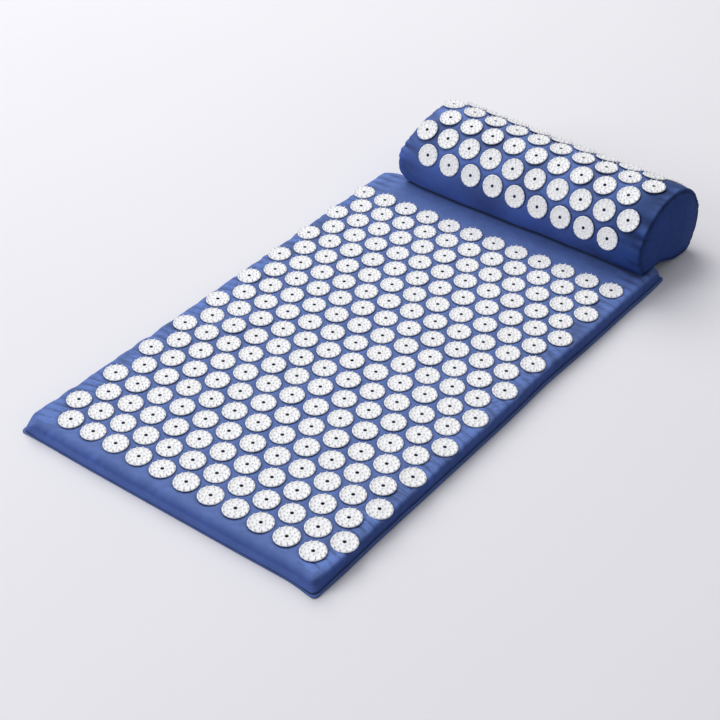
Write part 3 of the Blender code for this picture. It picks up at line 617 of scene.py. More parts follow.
# The edge's section at the long sides, at the ends and over the zip. The wall's top and foot, the
# groove and the lip are millimetres in from the outline, the drop of the shoulder and the seam's level
# are heights in millimetres, and the curve is the power that rounds the shoulder.
EDGE_FORM = {"wall": (2.6, 4.2, 3.1), "drop": (6.8, 10.0, 5.4), "curve": (0.6, 0.95, 0.9),
             "foot": (2.8, 1.0, 0.0), "groove": (6.2, 2.0, 0.5), "lip": (2.2, 0.5, 0.6),
             "seam": (4.0, 1.7, 4.2)}

# The four corners as (side, end), then in millimetres how far each stands out of the plain rectangle
# across and along, and how far from its tip the cloth climbs to its full height across and along
CORNERS = ((1, -1, -1.5, -4.5, 9, 13), (-1, -1, -3.5, -0.5, 26, 24), (1, 1, -1.5, -2.5, 28, 34),
           (-1, 1, 4, -3, 100, 36))
EAR_WIDTH = 0.024
LOWEST_CORNER = 2.5 * MM

# Where the right side is drawn in, and where the pillow draws in the head end: place, depth, width
SIDE_DRAW = (0.075, 2.2 * MM, 0.055)
HEAD_DRAWS = ((-0.160, 16 * MM, 0.032), (0.163, 7 * MM, 0.022))
HEAD_DRAW_REACH = 0.026

# The pillow presses the top cloth flat from here on, over this distance
PRESSED_FROM = 0.262
PRESSED_OVER = 0.025

# The open mat's unevenness: the foam's swell, and the cloth's fine and broad unevenness
SWELL_HEIGHT = 0.45 * MM
FINE_HEIGHT, BROAD_HEIGHT = 0.085 * MM, 0.16 * MM

# A disc's print: flat under the plate with a soft edge, a dimple under the hole, a swell round it
PRINT_DEPTH, PRINT_EDGE = 0.6 * MM, 2.0 * MM
DIMPLE_DEPTH, DIMPLE_WIDTH = 1.2 * MM, 3.2 * MM
RISE_HEIGHT, RISE_OUT, RISE_WIDTH = 0.35 * MM, 4.6 * MM, 2.4 * MM

# The cloth is pulled flat from inside a disc's rim out over this distance
FREE_INSIDE, FREE_OVER = 1.5 * MM, 3 * MM

# The bands of cloth in which relief stands: millimetres out from where the flat top ends, and width
BANDS = {"side crease": (-7, 14), "scallop": (5, 7), "side dent": (14, 6), "end dent": (9, 9),
         "end fold": (10, 8), "end crumple": (-3, 12)}

# Where along the side the creases of a bay are, how strong they are between the bays, and how strong
# the broad creases and the small dents are
BAY_SHIFT, BAY_WIDTH, BETWEEN_BAYS = 5 * MM, 13 * MM, 0.35
BROAD_CREASE, SMALL_DENT = 0.8, 0.55

# The folds of an end come and go with these strengths, and the crumple over them is faint
FOLD_STRENGTH, FOLD_MOST = 0.3, 1.3
END_FOLD, END_CRUMPLE = 0.45, 0.14

# Relief is weaker at the corners and fades out down the wall; prints and swell end on the shoulder
CORNER_RELIEF = 0.35
WALL_FADE, SWELL_REACH = 6 * MM, 7 * MM
PRINT_FROM, PRINT_OVER = 12 * MM, 5 * MM

# How uneven the lip and the groove over it are, and how the section changes beside the zip
LIP_WOBBLE, GROOVE_WOBBLE, LIP_ROLL = 0.28, 0.10, 0.35 * MM
ZIP_BLEND = 8 * MM

# Short folds in the slack cloth by the near corner, as (x, y, heading, half length, depth)
CORNER_FOLDS = ((0.173, -0.3105, 0.35, 5.5 * MM, 0.30 * MM), (0.1785, -0.3185, 1.15, 5.0 * MM, 0.34 * MM),
                (0.1385, -0.3165, 0.05, 6.0 * MM, 0.22 * MM), (0.128, -0.3195, 0.50, 5.0 * MM, 0.20 * MM),
                (0.184, -0.286, 0.15, 6.0 * MM, 0.25 * MM))
FOLD_WIDTH = 1.5 * MM
FOLD_BEND = 18.0

# Painted light and shade on the folds: the side's and the end's weight, how much paler a ridge is painted,
# and the height that gets the full paleness
SIDE_PALE, END_PALE = 1.5, 0.5
FOLD_PALE = 0.34
FOLD_FULL = 0.35 * MM


def mat_lines(half, spacing):
    """Even mesh lines across the flat top, with an even count of gaps."""
    steps = 2 * round((half - FLAT_INSET) / spacing)
    return np.linspace(-(half - FLAT_INSET), half - FLAT_INSET, steps + 1)


def mat_place(look, x, y):
    """Where the outline's pull, bow and skew put a point of the plain rectangle."""
    half_x, half_y = look.width / 2, look.length / 2
    side = half_x - look.side_draw * ease((half_y - np.abs(y)) / CORNER_REACH)
    along, depth, width = SIDE_DRAW
    side = side - depth * bump(y - along, width) * (x > 0)
    end = half_y + look.end_bow * ease((half_x - np.abs(x)) / CORNER_REACH)
    out_x, out_y = x * side / half_x, y * end / half_y
    for across, along, shift_x, shift_y, *_ in CORNERS:
        near = bump(np.hypot(x - across * half_x, y - along * half_y), EAR_WIDTH)
        out_x, out_y = out_x + shift_x * MM * near, out_y + shift_y * MM * near
    for across, depth, width in HEAD_DRAWS:
        out_y = out_y - depth * bump(x - across, width) * bump(y - half_y, HEAD_DRAW_REACH) * (y > 0)
    return out_x + look.skew * y / half_y, out_y


def corner_cap(look, x, y):
    """The most height that the cloth has near the pinched corners."""
    cap = np.full_like(x, 1.0)
    for across, along, *_, run_x, run_y in CORNERS:
        tip_x = across * look.width / 2 + look.skew * along
        climb = across * (tip_x - x) / (run_x * MM) + along * (along * look.length / 2 - y) / (run_y * MM)
        cap = np.minimum(cap, np.clip(climb, 0, 1) ** 0.8)
    return look.thickness * cap


def open_mat(y):
    """1 on the open mat, and 0 where the pillow presses the cloth flat."""
    return 1 - ease((y - PRESSED_FROM) / PRESSED_OVER)


def mat_swell(x, y):
    """The slow swell of the foam under the top cloth."""
    return SWELL_HEIGHT * ripples(x, y, "mat swell") * open_mat(y)


def mat_rows():
    """Boxes of the rows of discs in the frame, and the pitch of the discs.

    Neighbouring rows differ by one disc, so their lengths differ by one pitch.
    """
    boxes = [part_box(name) for name in nodes_named("mat_disc_row_")]
    lengths = [high.x - low.x for low, high in boxes]
    return boxes, abs(lengths[1] - lengths[0])


def disc_places(look):
    """Middles of the discs on the mat, row by row, from the rows of the frame."""
    places = []
    boxes, pitch = mat_rows()
    for low, high in boxes:
        count = round((high.x - low.x - look.diameter) / pitch) + 1
        for k in range(count):
            places.append(((low.x + high.x) / 2 + (k - (count - 1) / 2) * pitch, (low.y + high.y) / 2))
    return np.array(places)


def mat_bays():
    """Where the shorter rows of discs leave the cloth free at the long sides."""
    boxes, pitch = mat_rows()
    longest = max(high.x - low.x for low, high in boxes)
    return [(low.y + high.y) / 2 for low, high in boxes if high.x - low.x < longest - pitch / 2]


def disc_print(x, y, places, radius):
    """How the discs press the cloth in, and the share of each place that is free of a disc."""
    depth, free = np.zeros_like(x), np.ones_like(x)
    for cx, cy in places:
        near = np.abs(y - cy) < 2 * radius
        out = np.hypot(x[near] - cx, y[near] - cy)
        depth[near] -= PRINT_DEPTH * np.where(out < radius, 1.0, bump(out - radius, PRINT_EDGE))
        depth[near] -= DIMPLE_DEPTH * bump(out, DIMPLE_WIDTH)
        depth[near] += RISE_HEIGHT * bump(out - radius - RISE_OUT, RISE_WIDTH)
        free[near] *= ease((out - radius + FREE_INSIDE) / FREE_OVER)
    return depth, free


def band(arc, kind):
    """1 in the middle of the band of cloth in which a kind of relief stands, and 0 far from it."""
    middle, width = BANDS[kind]
    return bump(arc - middle * MM, width * MM)


def side_relief(look, along, arc, bays):
    """Creases that run from the bays between the outer discs over the shoulder, and soft dents.

    Distances run outward along the cloth from where the flat top ends, and are negative on the top.
    """
    bay_share = np.clip(sum(bump(along - bay - BAY_SHIFT, BAY_WIDTH) for bay in bays), 0, 1)
    fine = ridged(ripples(arc, along, "fine side crease")) * (BETWEEN_BAYS + (1 - BETWEEN_BAYS) * bay_share)
    broad = ridged(ripples(arc, along, "broad side crease"))
    crease = look.crease * (fine + BROAD_CREASE * broad) * band(arc, "side crease")
    scallop = look.dent * ripples(along, arc, "scallop") * band(arc, "scallop")
    dents = SMALL_DENT * look.dent * ripples(along, arc, "side dent") * band(arc, "side dent")
    return np.stack([crease, scallop + dents])


def end_relief(look, along, arc):
    """A few tight folds down the end walls, and broad dents."""
    dents = look.dent * ripples(along, arc, "end dent") * band(arc, "end dent")
    strength = np.clip(FOLD_STRENGTH + ripples(along, arc * 0, "end fold strength"), 0, FOLD_MOST)
    folds = END_FOLD * look.dent * strength * ridged(ripples(along, arc, "end fold"))
    crumple = END_CRUMPLE * look.dent * ridged(ripples(along, arc, "end crumple"))
    return np.stack([folds * band(arc, "end fold") + crumple * band(arc, "end crumple"), dents])


def top_relief(x, y):
    """The short folds near the corner, and the cloth's own soft unevenness."""
    uneven = FINE_HEIGHT * ripples(x, y, "fine unevenness")
    uneven = uneven + BROAD_HEIGHT * ripples(x, y, "broad unevenness")
    short = np.zeros_like(uneven)
    for cx, cy, heading, reach, depth in CORNER_FOLDS:
        along = (x - cx) * math.cos(heading) + (y - cy) * math.sin(heading)
        across = (y - cy) * math.cos(heading) - (x - cx) * math.sin(heading)
        across = across - FOLD_BEND * along * along
        short += depth * bump(along, reach) * 2.2 * across / FOLD_WIDTH * bump(across, FOLD_WIDTH)
    return short, uneven * open_mat(y)


def grid_quads(columns, rows):
    """Quads of a grid whose points are numbered column by column, counter-clockwise from above."""
    return [(i * rows + j, (i + 1) * rows + j, (i + 1) * rows + j + 1, i * rows + j + 1)
            for i in range(columns - 1) for j in range(rows - 1)]


def border(columns, rows):
    """Indices (i, j) round a grid, counter-clockwise seen from above."""
    return ([(i, 0) for i in range(columns - 1)] + [(columns - 1, j) for j in range(rows - 1)]
            + [(i, rows - 1) for i in range(columns - 1, 0, -1)] + [(0, j) for j in range(rows - 1, 0, -1)])


# How much longer than its coils the opening of a zip is at each end, and over what distance the cloth
# sinks at its sides and ends
ZIP_MARGIN = 3 * MM
SINK_SIDE, SINK_END = 1.0 * MM, 1.5 * MM


def sink_for_zip(points, zip_frame, look, half_length):
    """Press a skin in behind a zip, so that tapes and coils lie in its opening."""
    local = (points - zip_frame["origin"]) @ zip_frame["axes"].T
    inside = 1 - ease((np.abs(local[:, 1]) - look.opening / 2) / SINK_SIDE)
    inside *= 1 - ease((np.abs(local[:, 0]) - half_length) / SINK_END)
    near = np.abs(local[:, 2]) < 4 * look.recess
    drop = (-look.recess - local[:, 2]) * inside * near
    return points + drop[:, None] * zip_frame["axes"][2]


def edge_form(look, edge_x, edge_y, zip_reach):
    """The sizes of the edge's section at every border point, and the share that is long side."""
    half_x, half_y = look.width / 2 - FLAT_INSET, look.length / 2 - FLAT_INSET
    side = 0.5 + 0.5 * ease((half_y - np.abs(edge_y)) / CORNER_BLEND)
    side = side - 0.5 * ease((half_x - np.abs(edge_x)) / CORNER_BLEND)
    zipped = (edge_x < MM - half_x) * (1 - ease((np.abs(edge_y) - zip_reach) / ZIP_BLEND))
    form = {"side": side}
    for name, (at_side, at_end, at_zip) in EDGE_FORM.items():
        unit = 1 if name == "curve" else MM
        form[name] = (side * at_side + (1 - side) * at_end) * (1 - zipped) * unit + zipped * at_zip * unit
    wobble = ripples(edge_x, edge_y, "lip wobble") * (1 - zipped)
    form["lip"] = form["lip"] * (1 + LIP_WOBBLE * wobble)
    form["groove"] = form["groove"] * (1 + GROOVE_WOBBLE * wobble)
    form["roll"] = LIP_ROLL * ripples(edge_x, edge_y, "lip roll") * (1 - zipped)
    return form


def edge_rings(look, form):
    """(inset, height, corner rounding) over the shoulder, down the wall and round the lip."""
    top, seam, rings = look.thickness, form["seam"], []
    for angle in np.linspace(math.pi / 2, 0, SHOULDER_STEPS)[1:]:
        over = 1 - np.power(max(math.cos(angle), 1e-9), form["curve"])
        fall = 1 - np.power(math.sin(angle) + 1e-9, form["curve"])
        rings.append((form["wall"] + (FLAT_INSET - form["wall"]) * over, top - form["drop"] * fall,
                      1 - angle / (math.pi / 2)))
    wall_top, wall_foot = top - form["drop"], seam + 1.5 * MM
    for share in np.linspace(0, 1, WALL_STEPS + 1)[1:]:
        rings.append((form["wall"] + (form["foot"] - form["wall"]) * share,
                      wall_top + (wall_foot - wall_top) * share, 1 - 0.35 * share))
    # Into the groove under the wall, and out of it again onto the lip
    rings.append((form["foot"] * 0.7 + form["groove"] * 0.3, seam + 0.8 * MM, 0.6))
    rings.append((form["groove"], seam + 0.4 * MM, 0.5))
    rings.append(((form["groove"] + form["lip"]) / 2, seam - 0.3 * MM + form["roll"] * 0.8, 0.5))
    for angle in np.linspace(math.pi / 2, -math.pi / 2, LIP_STEPS):
        level = (seam + form["roll"] - 0.3 * MM) / 2 * (1 + math.sin(angle))
        rings.append((form["lip"] * (1 - math.cos(angle)), level, 0.45))
    rings.append((np.full_like(form["side"], FLOOR_INSET), np.zeros_like(form["side"]), 0.4))
    return rings


def round_corner(x, y, reach_x, reach_y, share):
    """Draw the sharp corner of a ring in to an even curve."""
    round_x, round_y = CORNER_ROUND[0] * share, CORNER_ROUND[1] * share
    u = (np.abs(x) - (reach_x - round_x)) / round_x
    v = (np.abs(y) - (reach_y - round_y)) / round_y
    inside = (u > 0) & (v > 0)
    u, v = np.maximum(u, 1e-6), np.maximum(v, 1e-6)
    pull = np.maximum(u, v) / (u ** CORNER_POWER + v ** CORNER_POWER) ** (1 / CORNER_POWER)
    round_off_x = np.sign(x) * (reach_x - round_x + u * pull * round_x)
    round_off_y = np.sign(y) * (reach_y - round_y + v * pull * round_y)
    return np.where(inside, round_off_x, x), np.where(inside, round_off_y, y)


def vertex_normals(verts, quads):
    """Unit normals of the points of a skin of quads."""
    corners = verts[quads]
    face = np.cross(corners[:, 2] - corners[:, 0], corners[:, 3] - corners[:, 1])
    total = np.zeros_like(verts)
    for k in range(4):
        np.add.at(total, quads[:, k], face)
    return total / np.maximum(np.linalg.norm(total, axis=1), 1e-12)[:, None]


def closed_mat_skin(look, places, radius, bays, zip_reach):
    """Flat top, rings round the edge and a base of half as many lines, as one closed skin."""
    half_x, half_y = look.width / 2, look.length / 2
    lines_x, lines_y = mat_lines(half_x, look.across), mat_lines(half_y, look.along)
    columns, rows = len(lines_x), len(lines_y)
    plain_x, plain_y = (part.ravel() for part in np.meshgrid(lines_x, lines_y, indexing="ij"))
    x, y = mat_place(look, plain_x, plain_y)
    side, side_dents = side_relief(look, y, np.abs(plain_x) - (half_x - FLAT_INSET), bays)
    end, end_dents = end_relief(look, plain_x, np.abs(plain_y) - (half_y - FLAT_INSET))
    short, uneven = top_relief(x, y)
    pressed, free = disc_print(x, y, places, radius)
    folds = [(SIDE_PALE * side + END_PALE * end + short) * free]
    relief = [(side + end + short + side_dents + end_dents + uneven) * free + mat_swell(x, y) + pressed]
    verts = [np.stack([x, y, np.full_like(x, look.thickness)], 1)]
    flat = [np.stack([plain_x, plain_y], 1)]
    quads = grid_quads(columns, rows)
    edge = border(columns, rows)
    edge_x = np.array([lines_x[i] for i, _ in edge])
    edge_y = np.array([lines_y[j] for _, j in edge])
    form = edge_form(look, edge_x, edge_y, zip_reach)
    ring = [i * rows + j for i, j in edge]
    total, arc = columns * rows, np.zeros(len(edge))
    inset, level = np.full(len(edge), FLAT_INSET), np.full(len(edge), look.thickness)
    fade = np.maximum(form["side"], 1 - form["side"]) * 2 - 1
    for next_inset, next_level, share in edge_rings(look, form):
        arc = arc + np.hypot(next_inset - inset, next_level - level)
        inset, level = next_inset, np.maximum(next_level, 0)
        ring_x = edge_x * (half_x - inset) / (half_x - FLAT_INSET)
        ring_y = edge_y * (half_y - inset) / (half_y - FLAT_INSET)
        ring_x, ring_y = round_corner(ring_x, ring_y, half_x - inset, half_y - inset, max(share, 0.02))
        x, y = mat_place(look, ring_x, ring_y)
        verts.append(np.stack([x, y, level], 1))
        side, side_dents = side_relief(look, y, arc, bays) * ease(2 * form["side"] - 1)
        end, end_dents = end_relief(look, edge_x, arc) * ease(1 - 2 * form["side"])
        pressed, free = disc_print(x, y, places, radius)
        strength = (CORNER_RELIEF + (1 - CORNER_RELIEF) * fade) * free
        folds.append((SIDE_PALE * side + END_PALE * end) * strength)
        shape = (side + end + side_dents + end_dents) * strength + mat_swell(x, y) * bump(arc, SWELL_REACH)
        relief.append(shape * ease(level / WALL_FADE) + pressed * ease((level - PRINT_FROM) / PRINT_OVER))
        flat.append(np.stack([edge_x + np.sign(edge_x) * arc * form["side"],
                              edge_y + np.sign(edge_y) * arc * (1 - form["side"])], 1))
        following = list(range(total, total + len(edge)))
        total += len(edge)
        quads += [(ring[k - 1], following[k - 1], following[k], ring[k]) for k in range(len(edge))]
        ring = following
    verts, quads = np.concatenate(verts), np.array(quads)
    verts = verts + vertex_normals(verts, quads) * np.concatenate(relief)[:, None]
    cap = np.maximum(corner_cap(look, verts[:, 0], verts[:, 1]), LOWEST_CORNER)
    verts[:, 2] = np.clip(verts[:, 2], 0, np.where(cap < look.thickness, cap, 1.0))
    base_verts, base_flat, base_faces = mat_base(look, lines_x[::2], lines_y[::2], ring, total)
    # Painted light and shade: fold ridges are painted paler and fold hollows darker
    pale = FOLD_PALE * np.clip(np.concatenate(folds + [np.zeros(len(base_verts))]) / FOLD_FULL, -1, 1)
    return (np.concatenate([verts, base_verts]), np.concatenate(flat + [base_flat]),
            np.column_stack([pale, np.zeros_like(pale)]), split_border(quads.tolist() + base_faces, ring))


def mat_base(look, lines_x, lines_y, ring, total):
    """The flat underside inside the last ring, which it meets at every second point."""
    half_x, half_y = look.width / 2, look.length / 2
    lines_x = lines_x * (half_x - FLOOR_INSET) / (half_x - FLAT_INSET)
    lines_y = lines_y * (half_y - FLOOR_INSET) / (half_y - FLAT_INSET)
    columns, rows = len(lines_x), len(lines_y)
    shared = {place: ring[2 * k] for k, place in enumerate(border(columns, rows))}
    inner = [(i, j) for i in range(1, columns - 1) for j in range(1, rows - 1)]
    shared.update({place: total + k for k, place in enumerate(inner)})
    plain = np.array([(lines_x[i], lines_y[j]) for i, j in inner])
    x, y = mat_place(look, plain[:, 0], plain[:, 1])
    faces = [(shared[i, j], shared[i, j + 1], shared[i + 1, j + 1], shared[i + 1, j])
             for i in range(columns - 1) for j in range(rows - 1)]
    return np.stack([x, y, np.zeros_like(x)], 1), plain, faces


def split_border(faces, ring):
    """The base meets every second point of the last ring, so the points between join its faces."""
    between = {}
    count = len(ring)
    for k in range(1, count, 2):
        between[frozenset((ring[k - 1], ring[(k + 1) % count]))] = ring[k]
    whole = []
    for face in faces:
        joined = []
        for k, here in enumerate(face):
            joined.append(here)
            extra = between.get(frozenset((here, face[(k + 1) % len(face)])))
            if extra is not None and extra not in face:
                joined.append(extra)
        whole.append(tuple(joined))
    return whole


def zip_frame_of(prefix):
    """Origin and axes of a zip from the frame: X along it, Y up the cloth, Z out of the cloth."""
    joints = {joint["name"]: joint for joint in frame["joints"]}
    along = np.array(joints[prefix + "_zip_slide"]["axis"], float)
    across = -np.array(joints[prefix + "_zip_pull_turn"]["axis"], float)
    out = np.cross(along, across)
    coils = [vert.co for tag in ("high", "low")
             for vert in frame["nodes"][prefix + "_zip_coil_" + tag].data.vertices]
    axes = np.stack([along, across, out])
    local = np.array(coils) @ axes.T
    middle = (local.min(0) + local.max(0)) / 2
    pivot = np.array(joints[prefix + "_zip_pull_turn"]["pos_m"], float)
    return {"origin": middle @ axes, "axes": axes, "pivot": (pivot - middle @ axes) @ axes.T,
            "half_coil": (local.max(0) - local.min(0))[0] / 2}


class OBJECT_OT_mat_cover(bpy.types.Operator):
    """Sew the mat's cover, with its rolled lip, creases and the dimples under the discs"""

    bl_idname = "object.mat_cover"
    bl_label = "Mat cover"

    def execute(self, context):
        look, discs = context.scene.mat_look, context.scene.disc_look
        cotton = material_of("mat_cotton", cotton_plain_weave, "mat_cotton", context.scene.cloth_look, 0)
        zip_frame = zip_frame_of("mat")
        length = zip_frame["half_coil"] + ZIP_MARGIN
        verts, flat, wear, faces = closed_mat_skin(look, disc_places(discs), discs.diameter / 2,
                                                   mat_bays(), length)
        verts = sink_for_zip(verts, zip_frame, context.scene.zip_look, length)
        cover = mesh_piece("mat_cover", verts, faces, cotton, flat, wear)
        hand_in(cover, "mat", ("mat_cover_top", "mat_cover_base"))
        return {"FINISHED"}


def two_sheets(x, y, bottom, top, columns, rows):
    """A closed body between a flat sheet and one of given heights, on the same grid of points."""
    verts = np.concatenate([np.column_stack([x, y, top]), np.column_stack([x, y, np.full_like(x, bottom)])])
    size, sheet = columns * rows, grid_quads(columns, rows)
    rim = [i * rows + j for i, j in border(columns, rows)]
    faces = sheet + [(a + size, d + size, c + size, b + size) for a, b, c, d in sheet]
    return verts, faces + [(a, a + size, b + size, b) for a, b in zip(rim, rim[1:] + rim[:1])]


# The foam keeps clear of the cloth, and its mesh lines are closer at its rounded edge
FOAM_GAP = 1 * MM
FOAM_ROUND = 5 * MM
FOAM_UNDER_TOP, FOAM_UNDER_CORNER = 1.5 * MM, 2.5 * MM
FOAM_OVER_BASE, FOAM_LOWEST = 0.5 * MM, 1.2 * MM
FOAM_LINES = 42
FOAM_EDGE_LINES = (0, 0.4, 1.3, 2.8, 5.0)


class OBJECT_OT_mat_foam(bpy.types.Operator):
    """Cut the mat's foam slab, with its upper edges eased"""

    bl_idname = "object.mat_foam"
    bl_label = "Mat foam"

    def execute(self, context):
        look = context.scene.mat_look
        low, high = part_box("mat_foam_slab")
        half_x, half_y = (high.x - low.x) / 2 - look.skew - FOAM_GAP, (high.y - low.y) / 2 - FOAM_GAP
        inset = np.array(FOAM_EDGE_LINES) * MM
        lines = [np.concatenate([inset - half, np.linspace(-half, half, FOAM_LINES)[2:-2],
                                 half - inset[::-1]]) for half in (half_x, half_y)]
        x, y = [grid.ravel() for grid in np.meshgrid(*lines, indexing="ij")]
        from_edge = np.clip(np.minimum(half_x - np.abs(x), half_y - np.abs(y)) / FOAM_ROUND, 0, 1)
        top = high.z - FOAM_UNDER_TOP - FOAM_ROUND * (1 - np.sqrt(1 - (1 - from_edge) ** 2))
        x, y = mat_place(look, x, y)
        top = np.clip(corner_cap(look, x, y) - FOAM_UNDER_CORNER, low.z + FOAM_LOWEST, top)
        verts, faces = two_sheets(x, y, low.z + FOAM_OVER_BASE, top, len(lines[0]), len(lines[1]))
        slab = mesh_piece("mat_foam", verts, faces, material_of("cut_foam", cut_foam))
        hand_in(slab, "mat", ("mat_foam_slab",))
        return {"FINISHED"}


# Discs


# Half section of a disc's plate, as shares of the hole's radius or the disc's, and of the plate's
# thickness: the hole is wider below than above, and the rim is a raised bead over a narrow foot
HOLE_SHARES = ((1.55, 0.0), (1.45, 0.62), (1.0, 0.92))
PLATE_SHARES = ((0.17, 1.22), (0.235, 1.22), (0.30, 0.95), (0.85, 0.86), (0.91, 1.12), (0.965, 1.08),
                (1.0, 0.62), (0.93, 0.0))
PLATE_STEPS = 16
FOOT_SHARE = 0.8

# The mat's outer discs lean with the shoulder from this far in, and sink a little in the cloth
LEAN_FROM = 9 * MM
LEAN_RATE = 7.0
DROP_RATE = 0.10
DISC_SINK = 0.25 * MM
MAT_SEED, PILLOW_SEED = 5, 9


def make_disc(look):
    """One moulded disc: a turned plate with a rolled rim and a boss round the hole, and its spikes."""
    plastic = material_of("moulded_abs", moulded_abs, look)
    radius, hole = look.diameter / 2, look.hole / 2
    profile = [(share * hole, rise * look.plate) for share, rise in HOLE_SHARES]
    profile += [(share * radius, rise * look.plate) for share, rise in PLATE_SHARES]
    verts, faces = [], []
    for k in range(PLATE_STEPS):
        angle = 2 * math.pi * k / PLATE_STEPS
        verts += [(r * math.cos(angle), r * math.sin(angle), z) for r, z in profile]
    count = len(profile)
    for k in range(PLATE_STEPS):
        here, there = k * count, (k + 1) % PLATE_STEPS * count
        faces += [(here + (n + 1) % count, here + n, there + n, there + (n + 1) % count)
                  for n in range(count)]
    plate = mesh_piece("disc_pattern", verts, faces, plastic)
    tree = bpy.data.node_groups.get("spiked_disc") or spike_tree()
    return run_tree(plate, tree, {"Spike width": look.spike_width, "Spike height": look.spike,
                                  "Foot height": FOOT_SHARE * look.plate, "Material": plastic})


class OBJECT_OT_mat_discs(bpy.types.Operator):
    """Lay the spiked discs on the mat"""

    bl_idname = "object.mat_discs"
    bl_label = "Mat discs"

    def execute(self, context):
        look, mat = context.scene.disc_look, context.scene.mat_look
        places = []
        for x, y in disc_places(look):
            swell = float(mat_swell(np.array(x), np.array(y)))
            plain_x = x - mat.skew * y / (mat.length / 2)
            past = max(0.0, LEAN_FROM - (mat.width / 2 - abs(plain_x) - look.diameter / 2))
            lean = Matrix.Rotation(math.copysign(past * LEAN_RATE, plain_x), 3, "Y")
            places.append((Vector((x, y, mat.thickness - DISC_SINK + swell - past * DROP_RATE)), lean))
        discs = lay("mat_discs", make_disc(look), places, look.tilt, math.pi, MAT_SEED)
        hand_in(discs, "mat", nodes_named("mat_disc_row_"))
        return {"FINISHED"}


# Pillow


# Points round a section, the spacing of the sections, and rings on an end panel
WRAP_STEPS = 128
BASE_STEPS = 40
STATION_SPACING = 0.0021
END_RINGS = 16
SMOOTHINGS = 7

# The wrap rolls over to the end seam, which lies in a groove, and its section changes on the last run
SEAM_ROLL = 0.0024
GROOVE_DEPTH = 0.0024
END_RUN = 0.045

# Gaps to the floor and the mat, how far in from the mat's edge the base rests on it, and how far
# behind that edge the base reaches the floor; then how deep a disc is set in the wrap
SEAT_GAP = 0.0003
MAT_GAP = 0.0006
EDGE_REST = 0.0085
BRIDGE_REACH = 0.036
LOWEST_CLOTH = 0.15 * MM
DISC_SET = 0.35 * MM

# The left end's slant: where it starts along the pillow, and how it grows to the crown and the base
SLANT_FROM = 0.138
CROWN_SLANT_FROM, CROWN_SLANT_OVER = 0.040, 0.064
BASE_SLANT_SHARE, BASE_SLANT_UNDER = 0.7, 0.030

# The right end's tuck: where it grows along the pillow and downward, and how far in from the front
TUCK_FROM, TUCK_OVER = -0.10, 0.24
TUCK_UNDER, TUCK_DOWN = 0.045, 0.040
TUCK_FRONT = 0.6

# Folds of the wrap: how far the fine and broad gathers and the drag reach in from a seam, and heights
FINE_REACH, BROAD_REACH, DRAG_REACH, CALM_REACH = 9 * MM, 22 * MM, 26 * MM, 12 * MM
PILLOW_SWELL, PILLOW_DRAG = 0.9 * MM, 0.6 * MM
BASE_CALM = 14 * MM

# Strength of the gathers: the middle, the swing and the most, the fine ones on the right, how much more
# on the left, and the broad ones
GATHER_MIDDLE, GATHER_SWING, GATHER_MOST = 0.6, 0.7, 1.5
FINE_GATHER, FINE_GATHER_LEFT, BROAD_GATHER = 0.7, 0.5, 0.7

# Painted light and shade on the wrap: the height of a fold that is painted fully pale, how much darker the
# seams are painted as shade, and where the painted shade towards the right end starts and how far it grows
PUSH_FULL = 0.9 * MM
ROLL_DARK, ROLL_DARK_FROM = 0.36, 0.35
PANEL_DARK, PANEL_DARK_FADE = 0.40, 1.5
RIGHT_SHADE_FROM, RIGHT_SHADE_OVER = 0.090, 0.075

# An end panel: its groove, how it stands out of it, how far it is inside the seam, its puckers
GROOVE_INSET = 0.4 * MM
PANEL_RIM, PANEL_RIM_RINGS = 0.5 * MM, 2.5
PANEL_INSET, PANEL_SHRINK = 0.9 * MM, 0.985
PUCKER_DEPTH, PUCKER_RINGS = 0.6 * MM, 3.0

# The discs' rows on the wrap, and how a disc draws the cloth in round itself
ROW_SPREAD, ROW_SHIFT = 1.015, 1.2 * MM
DRAW_DEPTH, DRAW_EDGE = 0.7 * MM, 2.4 * MM
PUFF_HEIGHT, PUFF_OUT, PUFF_WIDTH = 0.3 * MM, 4.5 * MM, 2.5 * MM


def pillow_scale(look, x):
    """The section shrinks towards the gathered left seam, swells to the right and sags in the middle."""
    start = look.length / 2 - END_RUN
    tapered = 1 - look.taper * ease((-x - start) / END_RUN)
    tapered = tapered + look.flare * ease((x - start) / END_RUN)
    return tapered * (1 - look.sag * np.cos(np.clip(x / look.length, -0.5, 0.5) * math.pi) ** 2)


def end_slant(look, x, height):
    """How far the cloth near the left end is drawn in: most at the crown, less at the base."""
    near = ease((-x - SLANT_FROM) / (look.length / 2 - SLANT_FROM))
    rise = ease((height - CROWN_SLANT_FROM) / CROWN_SLANT_OVER)
    rise = rise + BASE_SLANT_SHARE * ease((BASE_SLANT_UNDER - height) / BASE_SLANT_UNDER)
    return look.slant * near * rise


def section_point(look, angle, scale):
    """Depth and height on the section: angle 0 is the widest place at the back, 90 degrees the top."""
    height = np.where(np.asarray(angle) > 0, look.crown, look.undercut)
    return look.half_depth * scale * np.cos(angle), look.widest + height * scale * np.sin(angle)


def low_angle(look, height, scale):
    """The angle below the widest place at which the section has that height."""
    return -np.arcsin(np.clip((look.widest - height) / (look.undercut * scale), -1, 1))


def pillow_matrix(look, mat):
    """The flat base slopes from the mat's head end down to the floor at the back."""
    half = look.half_depth * math.cos(math.asin(look.widest / look.undercut))
    front = mat.length / 2 - look.overlap
    centre = Vector((look.shift, front + half * math.cos(look.tilt),
                     half * math.sin(look.tilt) + SEAT_GAP))
    turn = Matrix.Rotation(look.yaw, 4, "Z") @ Matrix.Rotation(-look.tilt, 4, "X")
    return Matrix.Translation(centre) @ turn


